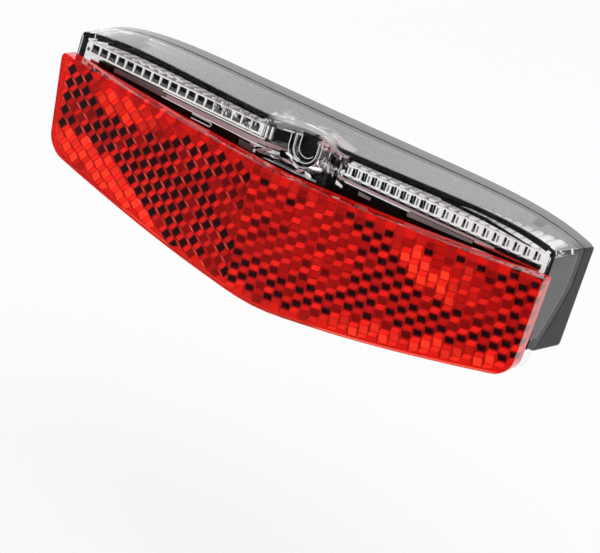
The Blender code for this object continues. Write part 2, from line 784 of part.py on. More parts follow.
def make_light_guides(parts, look):
    """The two clear bars that spread the side lamps' light along the window."""
    for side, name in ((-1, "light_guide_left"), (1, "light_guide_right")):
        top = GUIDE_BOTTOM_Z + GUIDE_HEIGHT
        add_object(name, plate(name, [guide_outline(side)], "XY", GUIDE_BOTTOM_Z, top), parts, look)


def notch_back_y(x):
    """Depth of the notch's inner wall at a distance from the middle, seen from inside the cover."""
    run = NOTCH_DEPTH / (NOTCH_HALF_WIDTH_FRONT - NOTCH_HALF_WIDTH_BACK)
    wall = COVER_WALL * math.hypot(1.0, run)
    slanted = -BODY_DEPTH + NOTCH_DEPTH - (abs(x) - NOTCH_HALF_WIDTH_BACK) * run + wall
    return min(slanted, -BODY_DEPTH + NOTCH_DEPTH + COVER_WALL)


def tray_outline(inset=0.0):
    """Outline in X and Y of the tray, which follows the window and steps back round the notch."""
    back = -(PLATE_THICKNESS + GAP + HEAD_HEIGHT + GAP) - inset
    end = GUIDE_OUTER_X - inset
    steps = 12
    edge = GUIDE_INNER_X + inset
    xs = [end - (end - edge) * i / steps for i in range(steps + 1)]
    inner = NOTCH_HALF_WIDTH_BACK + inset
    right = [(x, guide_front_y(x) + inset) for x in xs]
    right.append((inner + COVER_WALL, notch_back_y(inner) + GUIDE_FRONT_CLEARANCE + inset))
    left = [(-x, y) for x, y in reversed(right)]
    return [(end, back)] + right + left + [(-end, back)]


def make_tray(parts, cutters, look):
    """The bright tray under the light guides, with a raised lip round its edge."""
    top = GUIDE_BOTTOM_Z - GAP
    mesh = plate("guide_tray", [tray_outline()], "XY", top - TRAY_THICKNESS - TRAY_LIP_HEIGHT, top)
    tray = add_object("guide_tray", mesh, parts, look)
    low = top - TRAY_THICKNESS - TRAY_LIP_HEIGHT - REACH
    hollow = plate("tray_hollow", [tray_outline(TRAY_LIP_WIDTH)], "XY", low, top - TRAY_THICKNESS)
    boolean(tray, as_cutter(add_object("tray_hollow", hollow, cutters)))


def board_front_y():
    """Depth of the circuit board's front face."""
    return -(PLATE_THICKNESS + BOARD_STANDOFF + BOARD_THICKNESS)


def board_half_width():
    """Half width of the board's strip, which ends short of the bolts' rails."""
    return rail_ends()[0] - BOARD_RAIL_CLEARANCE


def board_left_x():
    """Left edge of the board's tongue, beside the terminal block."""
    corners = terminal_outline(rectangle(TERMINAL_WIDTH / 2, 0.0, TERMINAL_LENGTH))
    return max(x for x, z in corners) + BOARD_CLEARANCE


def board_bottom_z():
    """Lower edge of the board's tongue, above the housing's bottom wall."""
    return back_bottom_z(BOARD_TONGUE_RIGHT_X / HALF_WIDTH_BACK) + HOUSING_WALL + BOARD_CLEARANCE


def board_outline():
    """Outline in X and Z of the circuit board: a strip behind the lamps and a tongue below it."""
    out, low, high = board_half_width(), BOARD_STRIP_BOTTOM_Z, BOARD_STRIP_TOP_Z
    left, right, end = board_left_x(), BOARD_TONGUE_RIGHT_X, board_bottom_z()
    return [(-out, low), (left, low), (left, end), (right, end), (right, low), (out, low), (out, high), (-out, high)]


def make_board(parts, look):
    """The circuit board."""
    back = -(PLATE_THICKNESS + BOARD_STANDOFF)
    add_object("circuit_board", plate("circuit_board", [board_outline()], "XZ", board_front_y(), back), parts, look)


def on_board(name, size, place, parts, look):
    """A moulded component standing on the board, with chamfered edges."""
    back = board_front_y() - GAP
    low = (place[0] - size[0] / 2, back - size[1], place[1] - size[2] / 2)
    high = (place[0] + size[0] / 2, back, place[1] + size[2] / 2)
    made = add_object(name, box(name, low, high), parts, look)
    bevel = made.modifiers.new("edges", "BEVEL")
    bevel.width = min(size) * 0.12
    bevel.segments = 1
    return made


def make_electronics(parts, cutters, looks):
    """The lamps, the standlight capacitor and the small components."""
    seat = board_front_y() - GAP
    base = on_board("centre_lamp", (LAMP_BASE, LAMP_BASE_HEIGHT, LAMP_BASE), (0.0, LAMP_Z), parts, looks["lamp"])
    bm = bmesh.new()
    bmesh.ops.create_uvsphere(bm, u_segments=20, v_segments=12, radius=LAMP_DOME_RADIUS)
    bmesh.ops.translate(bm, vec=(0.0, seat - LAMP_BASE_HEIGHT, LAMP_Z), verts=bm.verts)
    dome = add_object("lamp_dome", mesh_from_bmesh("lamp_dome", bm), cutters)
    boolean(base, as_cutter(dome), "UNION")
    lamp_x = GUIDE_INNER_X - SIDE_LAMP_GAP - SIDE_LAMP_LENGTH / 2
    size = (SIDE_LAMP_LENGTH, SIDE_LAMP_DEPTH, SIDE_LAMP_HEIGHT)
    for side, name in ((-1, "side_lamp_left"), (1, "side_lamp_right")):
        on_board(name, size, (side * lamp_x, LAMP_Z), parts, looks["lamp"])
    chip_x = board_half_width() * 0.66
    on_board("bridge_rectifier", RECTIFIER_SIZE, (-chip_x, RECTIFIER_Z), parts, looks["chip"])
    on_board("regulator", REGULATOR_SIZE, (chip_x, REGULATOR_Z), parts, looks["chip"])
    for name, place in zip(("resistor_right", "resistor_left"), RESISTOR_PLACES):
        on_board(name, RESISTOR_SIZE, place, parts, looks["chip"])
    radius, groove = CAPACITOR_RADIUS, 0.06 * CAPACITOR_RADIUS
    centre_z = board_bottom_z() + CAPACITOR_INSET
    end = front_y(0.0, centre_z - radius) + COVER_FRONT_WALL + CAPACITOR_CLEARANCE - seat
    can = [
        (0.0, 0.0),
        (radius - groove, 0.0),
        (radius, -groove),
        (radius, end * 0.72),
        (radius - groove, end * 0.78),
        (radius, end * 0.84),
        (radius, end + groove),
        (radius - groove, end),
        (0.0, end),
    ]
    place = ((board_left_x() + BOARD_TONGUE_RIGHT_X) / 2, seat, centre_z)
    turned("standlight_capacitor", can, parts, looks["can"], place)


def make_terminal(parts, cutters, look, clip_look):
    """The terminal block, flush with the back plate, and the two contact clips in its windows."""
    half = TERMINAL_WIDTH / 2
    outline = terminal_outline(rectangle(half, 0.0, TERMINAL_LENGTH))
    block = add_object(
        "terminal_block", plate("terminal_block", [outline], "XZ", -TERMINAL_DEPTH, 0.0), parts, look
    )
    mouth_points = rectangle(half - MOUTH_MARGIN, MOUTH_START, TERMINAL_LENGTH + REACH)
    mouth = plate("mouth", [terminal_outline(mouth_points)], "XZ", -MOUTH_DEPTH, REACH)
    boolean(block, as_cutter(add_object("mouth", mouth, cutters)))
    names = ("left", "right")
    for side, name in zip((1, -1), names):
        for kind, span in (("tall", TALL_WINDOW), ("short", SHORT_WINDOW)):
            outline = terminal_outline(window(*span, side * WINDOW_OFFSET))
            mesh = plate(f"{kind}_window_{name}", [outline], "XZ", -WINDOW_DEPTH, REACH)
            boolean(block, as_cutter(add_object(mesh.name, mesh, cutters)))
    make_post(block, cutters)
    for side, name in zip((1, -1), names):
        make_clip(f"contact_clip_{name}", side * WINDOW_OFFSET, parts, clip_look)


def terminal_matrix():
    """The turn and shift from the block's own frame (across, depth, down) to the object's."""
    edge, across, inward = terminal_frame()
    top = edge + inward * TERMINAL_LENGTH
    columns = ((across.x, 0.0, across.y), (0.0, 1.0, 0.0), (-inward.x, 0.0, -inward.y))
    turn = Matrix(columns).transposed().to_4x4()
    return Matrix.Translation((top.x, 0.0, top.y)) @ turn


def make_post(block, cutters):
    """The round post between the two wires in the terminal's mouth."""
    bm = bmesh.new()
    length = TERMINAL_LENGTH + POST_STAND_OUT - MOUTH_START + GAP
    bmesh.ops.create_cone(
        bm, cap_ends=True, segments=20, radius1=POST_RADIUS, radius2=POST_RADIUS, depth=length
    )
    middle = MOUTH_START - GAP + length / 2
    bmesh.ops.translate(bm, vec=(0.0, -MOUTH_DEPTH + POST_RADIUS * 0.8, middle), verts=bm.verts)
    bmesh.ops.transform(bm, matrix=terminal_matrix(), verts=bm.verts)
    post = add_object("wire_post", mesh_from_bmesh("wire_post", bm), cutters)
    boolean(block, as_cutter(post), "UNION")


def make_clip(name, across, parts, look):
    """A sprung contact leaf in a window, bent once."""
    low, high = TALL_WINDOW[0] + 2 * GAP, TALL_WINDOW[1] - GAP
    deep = -WINDOW_DEPTH + GAP
    bend = low + (high - low) * 0.4
    thick = CLIP_THICKNESS
    outline = [
        (deep, low),
        (deep + thick, low),
        (deep + thick, bend),
        (deep + thick + CLIP_RISE, high),
        (deep + CLIP_RISE, high),
        (deep, bend + thick),
    ]
    half = WINDOW_WIDTH / 2 - GAP
    mesh = plate(name, [outline], "YZ", across - half, across + half)
    mesh.transform(terminal_matrix())
    add_object(name, mesh, parts, look)


def make_bolt(name, x, parts, cutters, look):
    """A hexagon-head bolt, its head captive between the rails and its shank out through the slot."""
    seat = -(PLATE_THICKNESS + GAP)
    radius = HEAD_ACROSS_FLATS / 2 / math.cos(math.radians(30))
    head = prism_along_y(name, radius, seat - HEAD_HEIGHT, seat, 6)
    bolt = add_object(name, head, parts, look, (x, 0.0, 0.0))
    shank = turned(
        name + "_shank",
        [
            (0.0, BOLT_TIP_Y),
            (SHANK_RADIUS - TIP_CHAMFER, BOLT_TIP_Y),
            (SHANK_RADIUS, BOLT_TIP_Y - TIP_CHAMFER),
            (SHANK_RADIUS, seat - HEAD_HEIGHT / 2),
            (0.0, seat - HEAD_HEIGHT / 2),
        ],
        cutters,
        location=(x, 0.0, 0.0),
    )
    boolean(bolt, as_cutter(shank), "UNION")


def make_nut(name, x, parts, cutters, look):
    """A hexagon nut with a round flange, against the back plate."""
    place = (x, 0.0, 0.0)
    radius = NUT_ACROSS_FLATS / 2 / math.cos(math.radians(30))
    foot, top = GAP, GAP + NUT_HEIGHT
    hexagon = prism_along_y(name, radius, foot + FLANGE_EDGE / 2, top, 6)
    nut = add_object(name, hexagon, parts, look, place)
    bevel = radius - NUT_ACROSS_FLATS / 2
    dome = [
        (0.0, top),
        (radius - bevel * 1.2, top),
        (radius, top - bevel),
        (radius, foot),
        (0.0, foot),
    ]
    boolean(nut, as_cutter(turned(name + "_corners", dome, cutters, location=place)), "INTERSECT")
    flange = [
        (0.0, foot + FLANGE_EDGE + FLANGE_SLOPE_HEIGHT),
        (NUT_ACROSS_FLATS / 2 - GAP, foot + FLANGE_EDGE + FLANGE_SLOPE_HEIGHT),
        (FLANGE_RADIUS, foot + FLANGE_EDGE),
        (FLANGE_RADIUS, foot),
        (0.0, foot),
    ]
    boolean(nut, as_cutter(turned(name + "_flange", flange, cutters, location=place)), "UNION")
    bore = prism_along_y(name + "_bore", SHANK_RADIUS + GAP, -REACH, top + REACH)
    boolean(nut, as_cutter(add_object(name + "_bore", bore, cutters, location=place)))


def clear_scene():
    """Empties the scene of objects."""
    for existing in list(bpy.data.objects):
        bpy.data.objects.remove(existing)


def main():
    clear_scene()
    parts, cutters = new_collection("rear_light"), new_collection("cutters")
    black = material("black_plastic", (0.030, 0.031, 0.033), 0.42)
    clear = material("clear_plastic", (0.90, 0.92, 0.93), 0.03, transmission=1.0)
    red = material("red_plastic", (0.80, 0.02, 0.01), 0.05, transmission=0.6)
    zinc = material("zinc_plate", (0.78, 0.79, 0.80), 0.18, metallic=1.0)
    looks = {
        "lamp": material("lamp_body", (0.92, 0.90, 0.80), 0.3),
        "chip": material("chip_body", (0.04, 0.04, 0.045), 0.5),
        "can": material("capacitor_sleeve", (0.05, 0.06, 0.09), 0.35),
    }
    make_housing(parts, cutters, black)
    make_cover(parts, cutters, clear)
    make_reflector(parts, cutters, red)
    make_light_guides(parts, clear)
    make_tray(parts, cutters, material("bright_tray", (0.86, 0.86, 0.86), 0.12, metallic=0.9))
    make_board(parts, material("board", (0.03, 0.18, 0.08), 0.4))
    make_electronics(parts, cutters, looks)
    make_terminal(parts, cutters, black, material("contact_brass", (0.72, 0.62, 0.36), 0.3, metallic=1.0))
    for side, name in ((-1, "left"), (1, "right")):
        make_bolt(f"mounting_bolt_{name}", side * BOLT_X, parts, cutters, zinc)
        make_nut(f"flange_nut_{name}", side * BOLT_X, parts, cutters, zinc)


main()
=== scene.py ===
"""Bicycle rear light for a luggage rack: the dressed model, its studio and its camera.

Metres. +X is right seen from the front, -Y is the front, +Z is up, as in the CAD frame. The back plate
lies on y = 0. Every finished piece sits at the origin with its place in its mesh.
"""

import logging
import math
import random
from collections.abc import Callable, Iterable, Sequence
from dataclasses import dataclass
from enum import Enum

import bmesh
import bpy
from mathutils import Matrix, Vector


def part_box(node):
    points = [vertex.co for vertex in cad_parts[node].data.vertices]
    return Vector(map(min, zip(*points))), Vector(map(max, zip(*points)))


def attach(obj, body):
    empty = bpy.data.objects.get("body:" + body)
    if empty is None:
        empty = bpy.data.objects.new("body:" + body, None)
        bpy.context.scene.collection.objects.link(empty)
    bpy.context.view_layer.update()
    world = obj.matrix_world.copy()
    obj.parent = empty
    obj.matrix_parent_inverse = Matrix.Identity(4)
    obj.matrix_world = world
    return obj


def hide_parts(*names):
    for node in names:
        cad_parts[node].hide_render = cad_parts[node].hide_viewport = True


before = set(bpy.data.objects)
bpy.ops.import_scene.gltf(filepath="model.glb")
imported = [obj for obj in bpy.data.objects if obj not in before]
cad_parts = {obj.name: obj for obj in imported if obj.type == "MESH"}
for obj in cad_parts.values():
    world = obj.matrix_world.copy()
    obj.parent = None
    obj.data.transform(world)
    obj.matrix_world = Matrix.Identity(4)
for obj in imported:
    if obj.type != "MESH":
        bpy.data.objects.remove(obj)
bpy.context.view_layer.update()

LOG = logging.getLogger("rear_light")
MM = 0.001
Colour = tuple[float, float, float]
Point = tuple[float, float, float]
Section = Sequence[tuple[float, float]]
Socket = bpy.types.NodeSocket
Outputs = bpy.types.bpy_prop_collection


class Body(Enum):
    """The bodies that pieces ride on."""

    LIGHT = "light"
    BOLT_LEFT = "bolt_left"
    BOLT_RIGHT = "bolt_right"


class Side(Enum):
    """The light's two halves, seen from the front."""

    LEFT = -1
    RIGHT = 1

    @property
    def word(self) -> str:
        """The side's name in piece names."""
        return self.name.lower()

    @property
    def bolt_body(self) -> Body:
        """The body of the bolt on this side."""
        return Body.BOLT_LEFT if self is Side.LEFT else Body.BOLT_RIGHT


def held(value: float, low: float = 0.0, high: float = 1.0) -> float:
    """A value held between two limits."""
    return min(max(value, low), high)


def smooth_step(low: float, high: float, value: float) -> float:
    """A smooth rise from 0 at low to 1 at high."""
    share = held((value - low) / (high - low))
    return share * share * (3 - 2 * share)


def smooth_through(knots: Sequence[float], share: float) -> float:
    """The value at a share from 0 to 1 of a smooth even curve through evenly spaced knots.

    Args:
        knots: The heights.
        share: Where to read, from the first knot to the last.

    Returns:
        The height there.
    """
    last = len(knots) - 1
    place = min(share, 1.0) * last
    i = min(int(place), last - 1)
    u = place - i
    before = knots[i - 1] if i > 0 else knots[1]
    after = knots[i + 2] if i + 2 <= last else 2 * knots[last] - knots[last - 1]
    a, b = knots[i], knots[i + 1]
    slope_a, slope_b = (b - before) / 2, (after - a) / 2
    rise = slope_a * (u**3 - 2 * u**2 + u) + slope_b * (u**3 - u**2)
    return a * (2 * u**3 - 3 * u**2 + 1) + b * (3 * u**2 - 2 * u**3) + rise


def corner_drop(distance: float, radius: float) -> float:
    """How far a rounded corner has come in at a distance from the end.

    Args:
        distance: How far from the end.
        radius: The corner's radius.

    Returns:
        The drop, 0 past the corner.
    """
    if distance >= radius:
        return 0.0
    return radius - math.sqrt(max(radius**2 - (radius - distance) ** 2, 0.0))


def spaced(start: float, end: float, count: int) -> list[float]:
    """Even places from start to end."""
    return [start + (end - start) * i / (count - 1) for i in range(count)]


@dataclass(frozen=True)
class TopEdge:
    """An edge of the top: its height in the middle, its rise outwards and its drop at the ends."""

    middle: float
    rise: float
    drop: float

    def at(self, share: float) -> float:
        """Height at a share of the half width."""
        return self.middle + self.rise * share**2 - self.drop * share**6


@dataclass(frozen=True)
class BodyForm:
    """The outer form of the light, in metres, as the CAD builds it."""

    half_width_back: float = 0.0528
    half_width_front: float = 0.0509
    depth: float = 0.0145
    front_bow: float = 0.0012
    lean_top_z: float = 0.005
    lean_slope: float = 0.12
    front_wall: float = 0.0013
    side_wall: float = 0.0013
    back_top: TopEdge = TopEdge(0.0126, 0.0006, 0.0036)
    front_top: TopEdge = TopEdge(0.0109, 0.0020, 0.0029)
    notch_floor_z: float = 0.0030
    notch_deep: float = 0.0037
    notch_half_width: float = 0.0079
    notch_flank: float = 0.0061
    red_end_gap: float = 0.0010
    red_top_z: float = 0.0026
    red_top_slope: float = 0.0021
    red_top_curve: float = 0.0011
    red_half_width_bottom: float = 0.0508
    red_bottom_knots: tuple[float, ...] = (-0.0232, -0.0217, -0.0194, -0.0166, -0.0135)

    @property
    def bow(self) -> float:
        """The front's bow for each square metre across."""
        return self.front_bow / self.half_width_front**2

    def half_width(self, y: float) -> float:
        """Half the width at a depth."""
        return self.half_width_back + (self.half_width_front - self.half_width_back) * (-y / self.depth)

    def share(self, x: float, y: float) -> float:
        """How far out x lies, from 0 in the middle to 1 at the end."""
        return min(abs(x) / self.half_width(y), 1.0)

    def top_z(self, x: float, y: float) -> float:
        """Height of the outer top face at a place in plan.

        Args:
            x: The place across, in metres.
            y: The depth.

        Returns:
            The height.
        """
        share = self.share(x, y)
        back = self.back_top.at(share)
        return back + (self.front_top.at(share) - back) * (-y / self.depth)

    def front_y(self, x: float, z: float) -> float:
        """Depth of the cover's front face."""
        lean = self.lean_slope * max(self.lean_top_z - z, 0.0)
        return -self.depth + self.front_bow * self.share(x, -self.depth) ** 2 + lean

    def behind_front(self, x: float, z: float, gap: float) -> float:
        """Depth of a place that lies a gap behind the cover's front wall."""
        return self.front_y(x, z) + self.front_wall + gap

    def notch_depth(self, x: float, z: float) -> float:
        """How far the notch sets the cover's front back.

        Args:
            x: The place across, in metres.
            z: The height, in metres.

        Returns:
            The distance, 0 outside the notch.
        """
        if z < self.notch_floor_z:
            return 0.0
        return self.notch_deep * held((self.notch_half_width - abs(x)) / self.notch_flank)

    def red_top(self, x: float) -> float:
        """Height of the reflector's top edge."""
        share = min(abs(x) / (self.half_width_back - self.red_end_gap), 1.0)
        return self.red_top_z + self.red_top_slope * share + self.red_top_curve * share**2

    def red_bottom(self, x: float) -> float:
        """Height of the reflector's bottom edge."""
        return smooth_through(self.red_bottom_knots, abs(x) / self.red_half_width_bottom)


FORM = BodyForm()


class NodeKit:
    """Short ways to add and join nodes in one tree."""

    def __init__(self, tree: bpy.types.NodeTree) -> None:
        """Keeps the tree."""
        self.tree = tree

    def add(self, kind: str, **settings: object) -> bpy.types.Node:
        """Adds a node.

        Args:
            kind: The node's type name.
            settings: Node properties to set.

        Returns:
            The new node.
        """
        node = self.tree.nodes.new(kind)
        for key, value in settings.items():
            setattr(node, key, value)
        return node

    def put(self, value: object, into: Socket) -> None:
        """Joins a socket to an input, or sets the input's own value.

        Args:
            value: A socket or a plain value.
            into: The input.
        """
        if isinstance(value, Socket):
            self.tree.links.new(value, into)
        else:
            into.default_value = value

    def node(self, kind: str, given: dict[str | int, object] | None = None, **settings: object) -> Socket:
        """Adds a node and feeds its inputs.

        Args:
            kind: The node's type name.
            given: Sockets or values by the input's name or number.
            settings: Node properties to set.

        Returns:
            The node's first output.
        """
        node = self.add(kind, **settings)
        for key, value in (given or {}).items():
            self.put(value, node.inputs[key])
        return node.outputs[0]

    def math(self, operation: str, *values: object, clamp: bool = False) -> Socket:
        """The result of a Math node.

        Args:
            operation: The Math node's operation.
            values: Numbers or sockets, in order.
            clamp: Whether the result stays from 0 to 1.

        Returns:
            The node's output.
        """
        kind = "ShaderNodeMath"
        return self.node(kind, dict(enumerate(values)), operation=operation, use_clamp=clamp)

    def product(self, first: object, *others: object) -> Socket:
        """The product of several values.

        Args:
            first: A number or a socket.
            others: More of them, in order.

        Returns:
            The product.
        """
        for other in others:
            first = self.math("MULTIPLY", first, other)
        return first

    def blend(self, share: object, one: object, other: object) -> Socket:
        """A colour between two, by a share.

        Args:
            share: How much of the second colour it has.
            one: The first colour.
            other: The second colour.

        Returns:
            The colour.
        """
        node = self.add("ShaderNodeMix", data_type="RGBA")
        self.put(share, node.inputs[0])
        for value, socket in ((one, node.inputs[6]), (other, node.inputs[7])):
            self.put((*value, 1.0) if isinstance(value, tuple) and len(value) == 3 else value, socket)
        return node.outputs[2]

    def span(
        self, value: object, low: float, high: float, start: float = 0.0, end: float = 1.0
    ) -> Socket:
        """A value mapped from one range to another, held at its ends."""
        return self.node("ShaderNodeMapRange", dict(enumerate((value, low, high, start, end))), clamp=True)

    def combine(self, x: object = 0.0, y: object = 0.0, z: object = 0.0) -> Socket:
        """A vector from its three parts."""
        return self.node("ShaderNodeCombineXYZ", {0: x, 1: y, 2: z})

    def split(self, vector: Socket) -> Outputs:
        """The three parts of a vector.

        Args:
            vector: The vector.

        Returns:
            The outputs for X, Y and Z.
        """
        node = self.add("ShaderNodeSeparateXYZ")
        self.put(vector, node.inputs[0])
        return node.outputs

    def place(self) -> Socket:
        """The place on the object, which is the place in the frame."""
        return self.add("ShaderNodeTexCoord").outputs["Object"]

    def facing(self) -> Outputs:
        """The three parts of the surface's direction."""
        return self.split(self.add("ShaderNodeNewGeometry").outputs["Normal"])

    def noise(self, vector: Socket, scale: object, detail: float) -> Socket:
        """Noise from 0 to 1."""
        return self.node("ShaderNodeTexNoise", {"Vector": vector, "Scale": scale, "Detail": detail})

    def transform(self, geometry: Socket, **given: object) -> Socket:
        """A moved, turned or scaled geometry, by the Transform node's own inputs."""
        return self.node("GeometryNodeTransform", {"Geometry": geometry} | given)


SOCKET_TYPES = {
    int: "NodeSocketInt",
    float: "NodeSocketFloat",
    tuple: "NodeSocketVector",
    type(None): "NodeSocketMaterial",
}


def new_tree(
    name: str, kind: str, inputs: dict[str, object], outputs: Iterable[str], output_type: str
) -> NodeKit:
    """A new node group with its sockets.

    Args:
        name: The group's name.
        kind: The tree's type name.
        inputs: Defaults by the inputs' names, None for a material.
        outputs: The outputs' names.
        output_type: The outputs' socket type.

    Returns:
        A kit for the tree.
    """
    tree = bpy.data.node_groups.new(name, kind)
    for label, default in inputs.items():
        socket_type = SOCKET_TYPES[type(default)]
        socket = tree.interface.new_socket(label, in_out="INPUT", socket_type=socket_type)
        if default is not None:
            socket.default_value = default
    for label in outputs:
        tree.interface.new_socket(label, in_out="OUTPUT", socket_type=output_type)
    return NodeKit(tree)


class Effect:
    """A shader node group that several finishes share, built once, with numbers in and masks out."""

    name: str
    inputs: dict[str, float] = {}
    outputs: tuple[str, ...] = ("Mask",)

    @classmethod
    def rule(cls, kit: NodeKit, given: Outputs) -> tuple[Socket, ...]:
        """Wires the group between its inputs and its outputs, which it returns in order."""
        raise NotImplementedError

    @classmethod
    def tree(cls) -> bpy.types.NodeTree:
        """The group's tree, built at its first use.

        Returns:
            The tree.
        """
        if cls.name in bpy.data.node_groups:
            return bpy.data.node_groups[cls.name]
        kit = new_tree(cls.name, "ShaderNodeTree", cls.inputs, cls.outputs, "NodeSocketFloat")
        results = cls.rule(kit, kit.add("NodeGroupInput").outputs)
        for result, socket in zip(results, kit.add("NodeGroupOutput").inputs):
            kit.put(result, socket)
        return kit.tree

    @classmethod
    def add_to(cls, kit: NodeKit, **values: float) -> Outputs:
        """Adds the group to a material.

        Args:
            kit: The material's kit.
            values: The group's own values here, with underscores for spaces.

        Returns:
            The group node's outputs.
        """
        node = kit.add("ShaderNodeGroup", node_tree=cls.tree())
        for label, value in values.items():
            node.inputs[label.replace("_", " ")].default_value = value
        return node.outputs


class MouldedGrain(Effect):
    """Fine spark-eroded grain with a slow waviness, as a height and a spread from -1 to 1."""

    name = "moulded_grain"
    inputs = {"Grains per Metre": 3000.0, "Waviness": 0.3}
    outputs = ("Height", "Spread")

    @classmethod
    def rule(cls, kit: NodeKit, given: Outputs) -> tuple[Socket, ...]:
        """Wires the grain.

        Args:
            kit: A kit for the tree.
            given: The tree's inputs, by name.

        Returns:
            The group's outputs, in order.
        """
        place = kit.place()
        fine = kit.noise(place, given["Grains per Metre"], 3.0)
        slow = kit.noise(place, 70.0, 2.0)
        height = kit.math("ADD", fine, kit.math("MULTIPLY", slow, given["Waviness"]))
        return height, kit.math("MULTIPLY_ADD", slow, 2.0, -1.0)


class HairScratches(Effect):
    """Sparse hair scratches from handling, in two directions."""

    name = "hair_scratches"
    inputs = {"Amount": 0.3, "Turn": 0.5}
    turns = (0.0, 1.1)
    pull = (40.0, 700.0, 2200.0)
    shift = (3.1, 1.7, 0.9)

    @classmethod
    def rule(cls, kit: NodeKit, given: Outputs) -> tuple[Socket, ...]:
        """Wires the scratches.

        Args:
            kit: A kit for the tree.
            given: The tree's inputs, by name.

        Returns:
            The group's outputs, in order.
        """
        place = kit.place()
        masks = []
        for i, turn in enumerate(cls.turns):
            angle = kit.math("ADD", given["Turn"], turn)
            swing = {"Vector": place, "Angle": angle}
            spun = kit.node("ShaderNodeVectorRotate", swing, rotation_type="Y_AXIS")
            shift = (cls.shift[0] * i, cls.shift[1] * i, cls.shift[2])
            pulled = kit.node("ShaderNodeMapping", {"Vector": spun, "Location": shift, "Scale": cls.pull})
            masks.append(kit.span(kit.noise(pulled, 1.0, 1.0), 0.70, 0.76))
        return (kit.product(kit.math("MAXIMUM", *masks), given["Amount"]),)


class SettledDust(Effect):
    """Dust that lies thickest on faces that look up."""

    name = "settled_dust"
    inputs = {"Amount": 0.1}

    @classmethod
    def rule(cls, kit: NodeKit, given: Outputs) -> tuple[Socket, ...]:
        """Wires the dust.

        Args:
            kit: A kit for the tree.
            given: The tree's inputs, by name.

        Returns:
            The group's outputs, in order.
        """
        facing = kit.span(kit.facing()[2], 0.2, 0.95, 0.25, 1.0)
        patches = kit.span(kit.noise(kit.place(), 240.0, 4.0), 0.42, 0.72)
        return (kit.product(facing, patches, given["Amount"]),)


class FaceMask(Effect):
    """The faces that look up, and those that look to an end."""

    name = "face_mask"
    outputs = ("Up", "End")

    @classmethod
    def rule(cls, kit: NodeKit, given: Outputs) -> tuple[Socket, ...]:
        """Wires both masks."""
        facing = kit.facing()
        return kit.span(facing[2], 0.75, 0.95), kit.span(kit.math("ABSOLUTE", facing[0]), 0.6, 0.9)


class NotchPaintedGlint(Effect):
    """Painted light round the notch of the cover's top, given as emission: a painted glint, strongest on its
    edge, with spots on the top face. Its bounds are in metres.
    """

    name = "notch_painted_glint"
    inputs = {"Amount": 0.5}
    middle_x = -0.0004
    half_width = (0.0058, 0.0076)
    top_z = (0.0085, 0.0093)
    front_y = (-0.0096, -0.0082)
    edge_z = (0.0101, 0.0105)

    @classmethod
    def rule(cls, kit: NodeKit, given: Outputs) -> tuple[Socket, ...]:
        """Wires the haze.

        Args:
            kit: A kit for the tree.
            given: The tree's inputs, by name.

        Returns:
            The group's outputs, in order.
        """
        place = kit.place()
        at, facing = kit.split(place), kit.facing()
        aside = kit.math("ABSOLUTE", kit.math("SUBTRACT", at[0], cls.middle_x))
        across = kit.span(aside, *cls.half_width, 1.0, 0.0)
        zone = kit.product(across, kit.span(at[2], *cls.top_z), kit.span(at[1], *cls.front_y, 1.0, 0.0))
        forward = kit.span(facing[1], -0.1, -0.2)
        edge = kit.product(kit.span(at[2], *cls.edge_z), kit.span(facing[2], 0.95, 0.99, 1.0, 0.0), forward)
        glint_spots = kit.span(kit.noise(place, 520.0, 2.0), 0.5, 0.62, 0.0, 0.45)
        top_glint = kit.product(glint_spots, kit.span(facing[2], 0.9, 0.99))
        return (kit.product(kit.math("MAXIMUM", edge, top_glint), zone, given["Amount"]),)


class PaintedDarkReflection(Effect):
    """Painted reflection: where a bright metal would show its dark surroundings, on faces that look level and
    sideways, its colour is darkened.
    """

    name = "painted_dark_reflection"
    inputs = {"Amount": 0.8}

    @classmethod
    def rule(cls, kit: NodeKit, given: Outputs) -> tuple[Socket, ...]:
        """Wires the mask.

        Args:
            kit: A kit for the tree.
            given: The tree's inputs, by name.

        Returns:
            The group's outputs, in order.
        """
        facing = kit.facing()
        level = kit.span(kit.math("ABSOLUTE", kit.math("SUBTRACT", facing[2], 0.1)), 0.04, 0.62, 1.0, 0.0)
        return (kit.product(level, kit.span(facing[1], 0.86, 1.0, 1.0, 0.0), given["Amount"]),)


class FacetFrame(Effect):
    """The inner part of each prism facet, read from the cell UVs, and 0 on its frame."""

    name = "facet_frame"

    @classmethod
    def rule(cls, kit: NodeKit, given: Outputs) -> tuple[Socket, ...]:
        """Wires the mask.

        Args:
            kit: A kit for the tree.
            given: The tree's inputs, by name; not used here.

        Returns:
            The group's outputs, in order.
        """
        cell = kit.split(kit.node("ShaderNodeUVMap", uv_map="cell"))
        reach = kit.math("MAXIMUM", kit.math("ABSOLUTE", cell[0]), kit.math("ABSOLUTE", cell[1]))
        return (kit.span(reach, 0.9, 1.06, 1.0, 0.0),)


# Colour of the painted dark reflection on bright metals.
PAINTED_REFLECTION_DARK = (0.035, 0.038, 0.042)
DUST = (0.45, 0.43, 0.40)
# Colour of the painted glint round the notch.
PAINTED_GLINT = (1.0, 0.97, 0.98)
LOW_TONE = 0.94
SCRATCH_ROUGHNESS = 0.25
DUST_ROUGHNESS = 0.4
COAT_ROUGHNESS = 0.08


